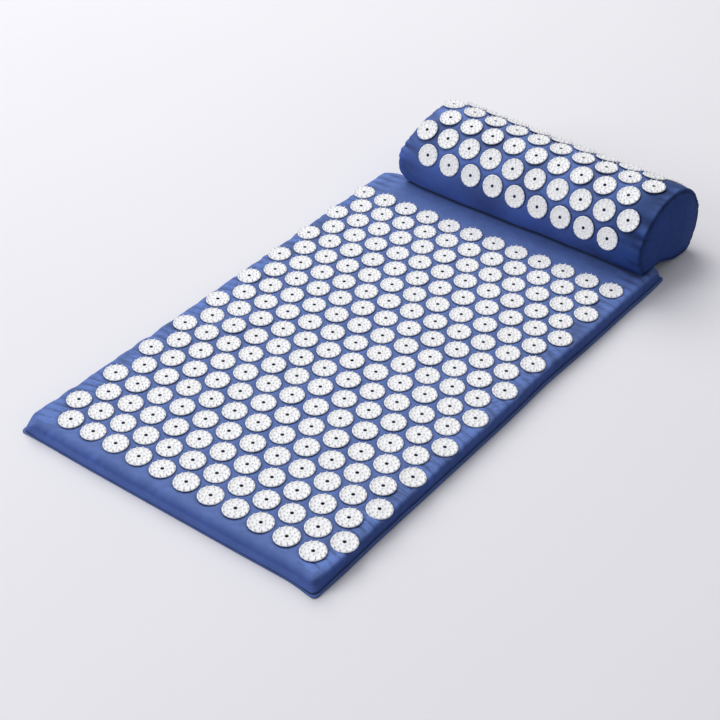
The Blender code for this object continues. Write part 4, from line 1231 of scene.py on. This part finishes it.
def lift_over_mat(look, mat, matrix, x, u):
    """How far the base gives way: it lies on the mat, and bridges from the mat's edge to the floor."""
    turn, place = np.array(matrix.to_3x3()), np.array(matrix.translation)
    seam = mat.length / 2 + mat.end_bow
    seat_u = (seam - EDGE_REST - place[1] - turn[1, 0] * x) / turn[1, 1]

    def lift(at):
        level = turn[2, 0] * x + turn[2, 1] * at + place[2]
        return np.maximum((mat.thickness + MAT_GAP - level) / math.cos(look.tilt), 0.0)

    inset = seam - (turn[1, 0] * x + turn[1, 1] * u + place[1])
    share = np.clip((inset + BRIDGE_REACH) / (EDGE_REST + BRIDGE_REACH), 0, None)
    return np.where(inset > EDGE_REST, lift(u), share * lift(seat_u))


def pillow_sections(look, mat, matrix, stations):
    """Closed sections, station by station: front edge, over the crown, to the back, along the base."""
    sections = []
    for x in stations:
        scale = float(pillow_scale(look, x))
        end = float(low_angle(look, 0.0, scale))
        front_lift = float(lift_over_mat(look, mat, matrix, x, -look.half_depth * scale * math.cos(end)))
        start = math.pi - float(low_angle(look, front_lift, scale))
        u, w = section_point(look, np.linspace(start, end, WRAP_STEPS), scale)
        base_u = np.linspace(u[-1], u[0], BASE_STEPS + 2)[1:-1]
        base_w = lift_over_mat(look, mat, matrix, x, base_u)
        section = np.stack([np.concatenate([u, base_u]), np.concatenate([w, base_w])], 1)
        tuck = look.tuck * ease((x - TUCK_FROM) / TUCK_OVER) * ease((TUCK_UNDER - section[:, 1]) / TUCK_DOWN)
        section[:, 0] += tuck * ease(-section[:, 0] / (TUCK_FRONT * look.half_depth))
        for _ in range(SMOOTHINGS):
            section = (np.roll(section, 1, 0) + 2 * section + np.roll(section, -1, 0)) / 4
        sections.append(section)
    return np.array(sections)


def outward(section):
    """Unit normals of a closed section, pointing out."""
    along = np.roll(section, -1, 0) - np.roll(section, 1, 0)
    normal = np.stack([-along[:, 1], along[:, 0]], 1)
    normal /= np.linalg.norm(normal, axis=1)[:, None]
    middle = section.mean(0)
    return normal if ((section - middle) * normal).sum() > 0 else -normal


def pillow_relief(look, x, arc, top_share):
    """Gathers that run in from the end seams, and a slow swell, on the wrap."""
    from_end = look.length / 2 - np.abs(x)
    left = (x < 0) * 1.0
    fine = ridged(ripples(arc, x, "fine gather"))
    broad = ripples(arc, x, "broad gather")
    strength = GATHER_MIDDLE + GATHER_SWING * ripples(arc, x * 0, "gather strength")
    fine = fine * np.exp(-from_end / FINE_REACH) * (FINE_GATHER + FINE_GATHER_LEFT * left)
    broad = BROAD_GATHER * broad * np.exp(-from_end / BROAD_REACH)
    gathers = look.gather * np.clip(strength, 0, GATHER_MOST) * (fine + broad)
    swell = PILLOW_SWELL * ripples(x, arc, "pillow swell")
    drag = PILLOW_DRAG * ripples(x, arc, "pillow drag") * np.exp(-from_end / DRAG_REACH)
    return gathers + (swell + drag * (1 - top_share)) * ease(from_end / CALM_REACH)


class OBJECT_OT_pillow_cover(bpy.types.Operator):
    """Sew the pillow's cover: the wrap, the base and the two end panels"""

    bl_idname = "object.pillow_cover"
    bl_label = "Pillow cover"

    def execute(self, context):
        scene = context.scene
        look, mat, discs = scene.pillow_look, scene.mat_look, scene.disc_look
        cotton = material_of("pillow_cotton", cotton_plain_weave, "pillow_cotton", scene.cloth_look, 3)
        matrix = pillow_matrix(look, mat)
        verts, flat, wear, faces = closed_pillow_skin(look, mat, matrix, discs)
        turn, place = np.array(matrix.to_3x3()), np.array(matrix.translation)
        verts = verts @ turn.T + place
        verts[:, 2] = np.maximum(verts[:, 2], LOWEST_CLOTH)
        zip_frame = zip_frame_of("pillow")
        verts = sink_for_zip(verts, zip_frame, scene.zip_look, zip_frame["half_coil"] + ZIP_MARGIN)
        cover = mesh_piece("pillow_cover", verts, faces, cotton, flat, wear)
        hand_in(cover, "pillow", ("pillow_cover_wrap", "pillow_cover_base",
                                                  "pillow_end_left", "pillow_end_right"))
        return {"FINISHED"}


def pillow_stations(look):
    """Stations along the pillow, closer together where the wrap rolls over to the end seams."""
    half = look.length / 2
    rolled = half - SEAM_ROLL
    inner = np.linspace(-rolled, rolled, 2 * round(rolled / STATION_SPACING) + 1)
    edge = half - SEAM_ROLL * (1 - np.sin(np.linspace(0, math.pi / 2, 7)[1:]))
    return np.concatenate([-edge[::-1], inner, edge])


def closed_pillow_skin(look, mat, matrix, discs):
    """Wrap and base as one tube of sections, closed by a seam groove and a bulging panel at each end."""
    stations, half = pillow_stations(look), look.length / 2
    sections = pillow_sections(look, mat, matrix, stations)
    count, middle = sections.shape[1], sections[len(stations) // 2]
    arcs = np.concatenate([[0], np.cumsum(np.linalg.norm(np.diff(middle, axis=0), axis=1))])
    crown_arc = arcs[np.argmax(middle[:, 1])]
    places = pillow_disc_grid(look, discs)
    wrap = np.arange(count) < WRAP_STEPS - 4
    verts, flat, wear = [], [], []
    for x, section in zip(stations, sections):
        normal = outward(section)
        beyond = max(abs(x) - (half - SEAM_ROLL), 0.0)
        roll = SEAM_ROLL - math.sqrt(max(SEAM_ROLL ** 2 - beyond ** 2, 0.0))
        top_share = ease(section[:, 1] / look.widest - 0.6)
        push = pillow_relief(look, np.full(count, x), arcs, top_share) * wrap
        push *= ease(section[:, 1] / BASE_CALM)
        # Painted light and shade: folds paler on their ridges and darker in their hollows, the wrap darker
        # where it rolls into a seam, and painted shade that grows towards the right end
        pale = FOLD_PALE * np.clip(push / PUSH_FULL, -1, 1)
        pale = pale - ROLL_DARK * ease(beyond / SEAM_ROLL - ROLL_DARK_FROM)
        wear.append(np.column_stack([pale, np.full(count, float(ease((x - RIGHT_SHADE_FROM) / RIGHT_SHADE_OVER)))]))
        push += pillow_dimples(x, arcs - crown_arc, places, discs.diameter / 2) * wrap
        ring = section + normal * (push - roll)[:, None]
        verts.append(np.column_stack([x + end_slant(look, x, section[:, 1]), ring]))
        flat.append(np.column_stack([np.full(count, x), arcs]))
    total = len(stations) * count
    faces = tube_faces(range(0, total, count), count)
    ends = (-1, 0, verts[0]), (1, (len(stations) - 1) * count, verts[-1])
    for side, first, last in ends:
        normal = outward(sections[0 if side < 0 else -1])
        rings, cap_faces = end_panel(look, side, last, normal, first, total, arcs)
        verts += rings
        flat += [np.column_stack([np.full(len(ring), side * half), ring[:, 2]]) for ring in rings]
        # Painted shade: each panel is darker next to its seam groove, and the right panel gets the right
        # end's painted shade
        for k, ring in enumerate(rings):
            dark = -PANEL_DARK * math.exp(-PANEL_DARK_FADE * k)
            wear.append(np.tile([dark, max(side, 0)], (len(ring), 1)))
        faces += cap_faces
        total += sum(len(ring) for ring in rings)
    return np.concatenate(verts), np.concatenate(flat), np.concatenate(wear), faces


def end_panel(look, side, last, normal, first, total, arcs):
    """Rings from the end seam in to the middle of an end panel, and the faces that they carry."""
    count = len(last)
    outline = last[:, 1:]
    middle = outline.mean(0)
    pucker = ripples(arcs, arcs * 0, "end pucker", side)
    edge = last[:, 0]
    rings = [np.column_stack([edge - side * GROOVE_INSET, outline - normal * GROOVE_DEPTH])]
    for k in range(1, END_RINGS):
        share = 1 - k / END_RINGS
        scale = 1 - (1 - share) * PANEL_SHRINK
        rim = math.sin(min(k / PANEL_RIM_RINGS, 1.0) * math.pi / 2)
        out = PANEL_RIM * rim + look.bulge * (1 - share ** 2)
        fold = PUCKER_DEPTH * pucker * math.exp(-(k - 1) / PUCKER_RINGS)
        spot = middle + (outline - normal * PANEL_INSET - middle) * scale
        level = edge.mean() + (edge - edge.mean()) * scale
        rings.append(np.column_stack([level + side * (out + fold), spot]))
    tip = np.array([[edge.mean() + side * (PANEL_RIM + look.bulge), *middle]])
    starts = [first] + [total + k * count for k in range(len(rings))]
    centre = total + len(rings) * count
    faces = tube_faces(starts, count) + [(starts[-1] + j, starts[-1] + (j + 1) % count, centre)
                                         for j in range(count)]
    return rings + [tip], faces if side > 0 else [face[::-1] for face in faces]


def pillow_disc_grid(look, discs):
    """Places of the discs as (x, distance along the cloth from the crown, minus at the front)."""
    pitch = mat_rows()[1]
    rows = nodes_named("pillow_disc_row_")
    step = pitch * math.sqrt(3) / 2 * ROW_SPREAD
    grid = []
    for k, name in enumerate(rows):
        low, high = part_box(name)
        length = (high.x - low.x - discs.diameter) / math.cos(look.yaw)
        count = round(length / pitch) + 1
        for n in range(count):
            x = (n - (count - 1) / 2) * pitch * look.spread
            grid.append((x, (k - len(rows) // 2) * step - look.twist * x - ROW_SHIFT))
    return grid


def pillow_dimples(x, arc, places, radius):
    """How the discs draw the pillow's cloth in round themselves."""
    depth = np.zeros_like(arc)
    for cx, along in places:
        if abs(cx - x) < 2 * radius:
            out = np.hypot(arc - along, cx - x) - radius
            depth -= DRAW_DEPTH * np.where(out < 0, 1.0, bump(out, DRAW_EDGE))
            depth += PUFF_HEIGHT * bump(out - PUFF_OUT, PUFF_WIDTH)
    return depth


# The wrap's section is walked from low on the front over the crown to low on the back
WRAP_ARC = (math.pi * 1.15, -0.3)
ARC_STEPS = 1200


class OBJECT_OT_pillow_discs(bpy.types.Operator):
    """Lay the spiked discs on the pillow's wrap"""

    bl_idname = "object.pillow_discs"
    bl_label = "Pillow discs"

    def execute(self, context):
        scene = context.scene
        look, discs = scene.pillow_look, scene.disc_look
        matrix = pillow_matrix(look, scene.mat_look)
        angles = np.linspace(*WRAP_ARC, ARC_STEPS)
        places = []
        for x, along in pillow_disc_grid(look, discs):
            u, w = section_point(look, angles, float(pillow_scale(look, x)))
            walked = np.concatenate([[0], np.cumsum(np.hypot(np.diff(u), np.diff(w)))])
            walked -= walked[np.argmax(w)]
            k = int(np.argmin(np.abs(walked - along)))
            slope = math.atan2(w[k + 1] - w[k - 1], u[k + 1] - u[k - 1])
            normal = Vector((0, -math.sin(slope), math.cos(slope)))
            fall = (pillow_scale(look, x + MM) - pillow_scale(look, x - MM)) / (2 * MM) * look.crown
            local = Matrix.Rotation(slope, 3, "X") @ Matrix.Rotation(-math.atan(float(fall)), 3, "Y")
            spot = Vector((x, u[k], w[k])) - normal * DISC_SET
            places.append((matrix @ spot, matrix.to_3x3() @ local))
        laid = lay("pillow_discs", make_disc(discs), places, discs.tilt, math.pi, PILLOW_SEED)
        hand_in(laid, "pillow", nodes_named("pillow_disc_row_"))
        return {"FINISHED"}


# The foam core keeps clear of its cover, and is a little narrower at its two cut ends
CORE_END_GAP, CORE_ROUND = 6 * MM, 5 * MM
CORE_INSET, CORE_END_INSET = 3.5 * MM, 5.5 * MM
CORE_STATIONS = 9
CORE_SHARP = math.radians(35)


class OBJECT_OT_pillow_foam(bpy.types.Operator):
    """Cut the pillow's foam core, a little smaller than its cover"""

    bl_idname = "object.pillow_foam"
    bl_label = "Pillow foam"

    def execute(self, context):
        scene = context.scene
        look = scene.pillow_look
        matrix = pillow_matrix(look, scene.mat_look)
        half = look.length / 2 - CORE_END_GAP
        inner = np.linspace(-half + CORE_ROUND, half - CORE_ROUND, CORE_STATIONS)
        stations = np.concatenate([[-half], inner, [half]])
        sections = pillow_sections(look, scene.mat_look, matrix, stations)[:, ::4]
        verts = []
        for x, section in zip(stations, sections):
            inset = CORE_END_INSET if abs(x) == half else CORE_INSET
            verts += [matrix @ Vector((x + float(end_slant(look, x - CORE_END_GAP, p[1])), *p))
                      for p in section - outward(section) * inset]
        count, last = sections.shape[1], len(verts) - sections.shape[1]
        faces = tube_faces(range(0, len(verts), count), count)
        faces += [tuple(range(count - 1, -1, -1)), tuple(range(last, last + count))]
        core = mesh_piece("pillow_foam", verts, faces, material_of("cut_foam", cut_foam))
        core.data.set_sharp_from_angle(angle=CORE_SHARP)
        hand_in(core, "pillow", ("pillow_foam_core",))
        return {"FINISHED"}


# Zips


def to_world(zip_frame, point):
    return Vector(zip_frame["origin"] + np.array(point) @ zip_frame["axes"])


def zip_turn(zip_frame):
    """Rotation from a zip's own axes to the world."""
    return Matrix(zip_frame["axes"].tolist()).transposed()


# A tape's section: millimetres up the cloth from the zip's middle line, and out of the cloth
TAPE_SECTION = ((0.10, -1.25), (0.5, -1.22), (1.6, -1.25), (2.8, -1.32), (3.9, -1.50), (4.3, -1.66),
                (3.9, -1.72), (2.0, -1.62), (0.10, -1.60))
TAPE_STEPS = 60

# One turn of a coil, by the same measures, and the shape of a stitch: along, rise, width as shares
COIL_PATH = ((-0.15, -0.35), (0.0, 0.30), (0.45, 0.62), (1.15, 0.62), (1.55, 0.1), (1.45, -0.5),
             (0.8, -0.72))
COIL_THICK = 0.62 * MM
STITCH_FORM = ((-0.5, -0.9, 0.4), (-0.36, 0.2, 1.0), (0.0, 0.5, 1.0), (0.36, 0.2, 1.0), (0.5, -0.9, 0.4))
STITCH_THICK = 0.32 * MM
ROD_SIDES = 6
SHARP_TAPE, SHARP_ROD, SHARP_METAL = 50, 60, 40


def make_tape(name, zip_frame, side, length, tape):
    """One tape, from beside the coil to under the edge of the cover, with a turned edge."""
    flat = [((k / TAPE_STEPS - 0.5) * length, side * y * MM)
            for k in range(TAPE_STEPS + 1) for y, _ in TAPE_SECTION]
    levels = [z * MM for _, z in TAPE_SECTION] * (TAPE_STEPS + 1)
    verts = [to_world(zip_frame, (x, y, z)) for (x, y), z in zip(flat, levels)]
    count = len(TAPE_SECTION)
    walls = tube_faces(range(0, len(verts), count), count)
    faces = walls if side < 0 else [quad[::-1] for quad in walls]
    ends = [tuple(range(count)), tuple(range(len(verts) - 1, len(verts) - 1 - count, -1))]
    faces = faces + (ends if side > 0 else [end[::-1] for end in ends])
    item = mesh_piece(name, verts, faces, tape, flat)
    item.data.set_sharp_from_angle(angle=math.radians(SHARP_TAPE))
    return item


def rod_piece(name, rings, material):
    """A short rod from rings of points, closed at both ends."""
    bm = bmesh.new()
    points = [bm.verts.new(spot) for ring in rings for spot in ring]
    faces = tube_faces(range(0, len(points), ROD_SIDES), ROD_SIDES)
    faces += [range(ROD_SIDES), range(len(points) - ROD_SIDES, len(points))]
    for face in faces:
        bm.faces.new([points[n] for n in face])
    return bmesh_piece(name, bm, material, SHARP_ROD)


def coil_turn(nylon, side):
    """One turn of a coil: a bent rod that reaches over the middle line to its neighbours."""
    rings = []
    for k, (y, z) in enumerate(COIL_PATH):
        before, after = COIL_PATH[max(k - 1, 0)], COIL_PATH[min(k + 1, len(COIL_PATH) - 1)]
        slope = math.atan2(after[1] - before[1], after[0] - before[0])
        ring = []
        for n in range(ROD_SIDES):
            turn = 2 * math.pi * n / ROD_SIDES
            off = math.cos(turn) * COIL_THICK / 2
            ring.append((math.sin(turn) * COIL_THICK / 2, side * (y * MM - math.sin(slope) * off),
                         z * MM + math.cos(slope) * off))
        rings.append(ring)
    return rod_piece("coil_turn", rings, nylon)


def stitch_shape(thread, length):
    """One stitch: a short rod with sunk ends."""
    turns = [2 * math.pi * n / ROD_SIDES for n in range(ROD_SIDES)]
    rings = [[(along * length, math.cos(turn) * STITCH_THICK * width,
               (rise * 0.6 + math.sin(turn) * width) * STITCH_THICK) for turn in turns]
             for along, rise, width in STITCH_FORM]
    return rod_piece("stitch", rings, thread)


def rounded_box(bm, size, centre, radius, segments=3):
    """Add a box with rounded edges to a bmesh."""
    place = Matrix.Translation(centre) @ Matrix.Diagonal((*size, 1.0))
    made = bmesh.ops.create_cube(bm, size=1.0, matrix=place)
    edges = dict.fromkeys(edge for vert in made["verts"] for edge in vert.link_edges)
    bmesh.ops.bevel(bm, geom=list(edges), offset=radius, segments=segments, profile=0.5, affect="EDGES")


# A slider: its wing's outline as shares of length and width, the channel for the coils, its walls and
# how the side walls are shorter, the ears with the bar between them, and the rounded edges
WING_OUTLINE = ((-0.5, 0.30), (-0.32, 0.46), (0.0, 0.5), (0.36, 0.5), (0.5, 0.40))
CHANNEL = 2.2 * MM
WALL = 0.9 * MM
WING_LIFT = 0.3 * MM
SIDE_SHARES = (0.92, 0.9, 0.9)
EAR_SIZE = (3.2 * MM, 0.8 * MM)
EAR_OFFSET = 2.45 * MM
EAR_OVER_BAR = 0.9 * MM
BAR_RADIUS = 0.6 * MM
BAR_LENGTH = 5.2 * MM
WING_EDGE, SIDE_EDGE, EAR_EDGE = 0.18 * MM, 0.15 * MM, 0.3 * MM

# A pull: its thickness and rounded edge, the radius of its eye and of the hole in it, and half the
# width, the start and the gap to the end of its slot
PULL_THICK = 1.5 * MM
PULL_EDGE = 0.25 * MM
EYE_RADIUS = 1.7 * MM
EYE_HOLE = 0.9 * MM
SLOT_HALF, SLOT_START, SLOT_END_GAP = 0.85 * MM, 5.0 * MM, 2.6 * MM


def slider_shape(length, width, bar):
    """A top wing, two side walls, and two ears that carry the pull's bar at the given height."""
    bm = bmesh.new()
    top = CHANNEL / 2 + WALL / 2 + WING_LIFT
    ring = [(x * length, y * width) for x, y in WING_OUTLINE]
    ring += [(x, -y) for x, y in ring[::-1]]
    face = bm.faces.new([bm.verts.new((x, y, top - WALL / 2)) for x, y in ring])
    for item in bmesh.ops.extrude_face_region(bm, geom=[face])["geom"]:
        if isinstance(item, bmesh.types.BMVert):
            item.co.z += WALL
    edges = [edge for edge in bm.edges if edge.calc_length() > WALL * 0.8]
    bmesh.ops.bevel(bm, geom=edges, offset=WING_EDGE, segments=2, profile=0.5, affect="EDGES")
    for side in (-1, 1):
        size = [full * share for full, share in zip((length, WALL, CHANNEL), SIDE_SHARES)]
        rounded_box(bm, size, (0, side * (width / 2 - WALL / 2), 0), SIDE_EDGE, 2)
        rounded_box(bm, (*EAR_SIZE, bar + EAR_OVER_BAR - top),
                    (0, side * EAR_OFFSET, (bar + EAR_OVER_BAR + top) / 2), EAR_EDGE)
    place = Matrix.Translation((0, 0, bar)) @ Matrix.Rotation(math.pi / 2, 4, "X")
    bmesh.ops.create_cone(bm, cap_ends=True, segments=16, radius1=BAR_RADIUS, radius2=BAR_RADIUS,
                          depth=BAR_LENGTH, matrix=place)
    return bm


def pull_shape(length, width):
    """A flat tag with a round eye, a long slot and a rounded grip: an outline with two holes."""
    grip, slot_end = width / 2, length - EYE_RADIUS - SLOT_END_GAP
    outer = arc_points(0, EYE_RADIUS, 115, 245, 8) + arc_points(length - EYE_RADIUS - grip, grip, -90, 90, 12)
    slot = arc_points(slot_end, SLOT_HALF, -90, 90, 6) + arc_points(SLOT_START, SLOT_HALF, 90, 270, 6)
    curve = bpy.data.curves.new("pull", "CURVE")
    curve.dimensions = "2D"
    curve.fill_mode = "BOTH"
    curve.extrude = PULL_THICK / 2 - PULL_EDGE
    curve.bevel_depth = PULL_EDGE
    curve.bevel_resolution = 2
    for ring in (outer, slot, arc_points(0, EYE_HOLE, 0, 345, 16)):
        spline = curve.splines.new("POLY")
        spline.points.add(len(ring) - 1)
        for point, (x, y) in zip(spline.points, ring):
            point.co = (x, y, 0, 1)
        spline.use_cyclic_u = True
    holder = add_object("pull_outline", curve)
    ready = holder.evaluated_get(bpy.context.evaluated_depsgraph_get())
    mesh = bpy.data.meshes.new_from_object(ready)
    bpy.data.objects.remove(holder)
    bm = bmesh.new()
    bm.from_mesh(mesh)
    bpy.data.meshes.remove(mesh)
    bmesh.ops.remove_doubles(bm, verts=bm.verts, dist=0.01 * MM)
    return bm


def arc_points(middle, radius, start, end, steps):
    """Points of an arc round a place on the X axis, from one angle to another in degrees."""
    turns = [math.radians(start + (end - start) * k / (steps - 1)) for k in range(steps)]
    return [(middle + radius * math.cos(turn), radius * math.sin(turn)) for turn in turns]


def local_box(node, zip_frame):
    """A node's box in a zip's own axes."""
    points = np.array([vert.co for vert in frame["nodes"][node].data.vertices])
    local = (points - zip_frame["origin"]) @ zip_frame["axes"].T
    return local.min(0), local.max(0)


# Where stitches lie beside a zip: up the cloth from its middle line, and out of the cloth
STITCH_PLACE = (2.75 * MM, -1.2 * MM)

# How much longer than the coils the tapes and the seams are, and how the two coils mesh: a gap and a
# share of the pitch
TAPE_OVER, SEAM_OVER = 5 * MM, 4 * MM
COIL_GAP, COIL_SHIFT = 0.12 * MM, 0.25
STOP_ROUND = 0.5 * MM


def make_zip(body, scene):
    """Tapes, coils, stops, stitches, slider and pull of one zip, laid along the frame's own zip."""
    look, cloth = scene.zip_look, scene.cloth_look
    start = body + "_zip_"
    zip_frame = zip_frame_of(body)
    turn, half = zip_turn(zip_frame), zip_frame["half_coil"]
    tape = material_of("herringbone_tape", herringbone_tape, cloth)
    nylon = material_of("dyed_nylon", dyed_nylon, cloth)
    zinc = material_of("plated_zinc", plated_zinc)
    thread = material_of("sewing_thread", sewing_thread, cloth)
    turns = int(2 * half / look.pitch)
    for side, tag in ((1, "high"), (-1, "low")):
        strip = make_tape(start + "tape_" + tag + "_woven", zip_frame, side, 2 * half + TAPE_OVER, tape)
        hand_in(strip, body, (start + "tape_" + tag,))
        pattern = coil_turn(nylon, -side)
        pattern.data.transform(Matrix.Diagonal((1, -1, 1, 1)))
        pattern.data.flip_normals()
        steps = [(k - (turns - 1) / 2 + side * COIL_SHIFT) * look.pitch for k in range(turns)]
        places = [(to_world(zip_frame, (x, side * COIL_GAP, 0)), turn) for x in steps]
        hand_in(lay(start + "coil_" + tag + "_wound", pattern, places), body,
                (start + "coil_" + tag,))
    for tag in ("stop_closed", "stop_open"):
        low, high = local_box(start + tag, zip_frame)
        bm = bmesh.new()
        rounded_box(bm, high - low, (low + high) / 2, STOP_ROUND)
        hand_in_casting(bm, zip_frame, (0, 0, 0), zinc, start + tag, "_clamped", body)
    step = look.stitch + look.stitch_gap
    count = int((2 * half + SEAM_OVER) / step)
    up, out = STITCH_PLACE
    places = [(to_world(zip_frame, ((k - (count - 1) / 2) * step, side * up, out)), turn)
              for k in range(count) for side in (-1, 1)]
    hand_in(lay(start + "stitches", stitch_shape(thread, look.stitch), places), body)
    pivot_x, _, bar = zip_frame["pivot"]
    low, high = local_box(start + "slider", zip_frame)
    hand_in_casting(slider_shape(high[0] - low[0], high[1] - low[1], bar), zip_frame, (pivot_x, 0, 0), zinc,
                    start + "slider", "_cast", start + "slider")
    low, high = local_box(start + "pull", zip_frame)
    hand_in_casting(pull_shape(high[0] - low[0], high[1] - low[1]), zip_frame, (pivot_x, 0, bar), zinc,
                    start + "pull", "_cast", start + "pull")


def hand_in_casting(bm, zip_frame, offset, zinc, node, ending, body):
    """Put a metal part of a zip in its place, for the node of that name."""
    matrix = zip_turn(zip_frame).to_4x4()
    matrix.translation = to_world(zip_frame, offset)
    bmesh.ops.transform(bm, matrix=matrix, verts=bm.verts)
    hand_in(bmesh_piece(node + ending, bm, zinc, SHARP_METAL), body, (node,))


class OBJECT_OT_mat_zip(bpy.types.Operator):
    """Sew the zip into the mat's left side"""

    bl_idname = "object.mat_zip"
    bl_label = "Mat zip"

    def execute(self, context):
        make_zip("mat", context.scene)
        return {"FINISHED"}


class OBJECT_OT_pillow_zip(bpy.types.Operator):
    """Sew the zip into the back of the pillow"""

    bl_idname = "object.pillow_zip"
    bl_label = "Pillow zip"

    def execute(self, context):
        make_zip("pillow", context.scene)
        return {"FINISHED"}


# Stage


CAMERA_PLACE = Vector((0.8694, -1.1361, 1.1283))
CAMERA_AZIMUTH = math.radians(37.585)
CAMERA_ELEVATION = math.radians(38.570)
CAMERA_ROLL = math.radians(-0.805)
CAMERA_LENS = 79.68
SENSOR_WIDTH = 36.0
FLOOR_HALF = 6.0

# Lights: name, which is also that of the setting with its power, place, target, diameter, colour
LIGHTS = (("key", (-2.0, 1.6, 2.9), (0.0, 0.1, 0.0), 3.2, "#FFFEFC"),
          ("top", (-0.9, -0.3, 3.3), (0.0, 0.1, 0.0), 2.6, "#FBFCFF"),
          ("fill", (-1.8, -2.6, 1.7), (0.0, 0.0, 0.0), 1.8, "#F8FAFF"))


def add_camera():
    """The photograph's own view, from the disc grid."""
    data = bpy.data.cameras.new("camera")
    data.lens = CAMERA_LENS
    data.sensor_width = SENSOR_WIDTH
    data.clip_start = 0.05
    item = add_object("camera", data)
    level = Matrix.Rotation(CAMERA_AZIMUTH, 4, "Z") @ Matrix.Rotation(math.pi / 2 - CAMERA_ELEVATION, 4, "X")
    item.matrix_world = Matrix.Translation(CAMERA_PLACE) @ level @ Matrix.Rotation(CAMERA_ROLL, 4, "Z")
    bpy.context.scene.camera = item


def add_area_light(name, place, target, diameter, energy, code):
    data = bpy.data.lights.new(name, "AREA")
    data.shape = "DISK"
    data.size = diameter
    data.energy = energy
    data.color = srgb(code)
    aim = (Vector(target) - Vector(place)).to_track_quat("-Z", "Y")
    add_object(name, data).matrix_world = Matrix.Translation(place) @ aim.to_matrix().to_4x4()


class OBJECT_OT_mat_stage(bpy.types.Operator):
    """Set the floor, the lights and the camera"""

    bl_idname = "object.mat_stage"
    bl_label = "Stage"

    def execute(self, context):
        look = context.scene.stage_look
        corners = [(x * FLOOR_HALF, y * FLOOR_HALF, 0) for x, y in ((-1, -1), (1, -1), (1, 1), (-1, 1))]
        floor = mesh_piece("floor", corners, [(0, 1, 2, 3)], studio_paper(look), smooth=False)
        world = bpy.data.worlds.new("room")
        world.use_nodes = True
        background = world.node_tree.nodes["Background"].inputs
        background["Color"].default_value = (*srgb("#F6F7FB"), 1.0)
        background["Strength"].default_value = look.sky
        context.scene.world = world
        for name, place, target, diameter, code in LIGHTS:
            add_area_light(name, place, target, diameter, getattr(look, name), code)
        context.scene.view_settings.view_transform = "Standard"
        add_camera()
        return {"FINISHED"}


class VIEW3D_PT_mat(bpy.types.Panel):
    """Lists the steps in the order in which the mat is made"""

    bl_label = "Acupressure mat"
    bl_idname = "VIEW3D_PT_mat"
    bl_space_type = "VIEW_3D"
    bl_region_type = "UI"
    bl_category = "Mat"

    def draw(self, context):
        for step in STEPS:
            self.layout.operator(step.bl_idname)
        for name in LOOKS:
            look = getattr(context.scene, name)
            box = self.layout.box()
            for prop in look.bl_rna.properties:
                if prop.identifier not in ("rna_type", "name"):
                    box.prop(look, prop.identifier)


STEPS = (OBJECT_OT_mat_stage, OBJECT_OT_mat_foam, OBJECT_OT_mat_cover, OBJECT_OT_mat_discs,
         OBJECT_OT_mat_zip, OBJECT_OT_pillow_foam, OBJECT_OT_pillow_cover, OBJECT_OT_pillow_discs,
         OBJECT_OT_pillow_zip)
LOOKS = {"mat_look": MatLook, "disc_look": DiscLook, "pillow_look": PillowLook, "zip_look": ZipLook,
         "cloth_look": ClothLook, "stage_look": StageLook}


def register():
    for kind in (*LOOKS.values(), *STEPS, VIEW3D_PT_mat):
        bpy.utils.register_class(kind)
    for name, kind in LOOKS.items():
        setattr(bpy.types.Scene, name, PointerProperty(type=kind))


def unregister():
    for name in LOOKS:
        delattr(bpy.types.Scene, name)
    for kind in reversed((*LOOKS.values(), *STEPS, VIEW3D_PT_mat)):
        bpy.utils.unregister_class(kind)


def main():
    register()
    for item in [o for o in bpy.context.scene.objects if o.name in ("Cube", "Camera", "Light")]:
        bpy.data.objects.remove(item)
    for step in STEPS:
        group, name = step.bl_idname.split(".")
        getattr(getattr(bpy.ops, group), name)()


if __name__ == "__main__":
    main()
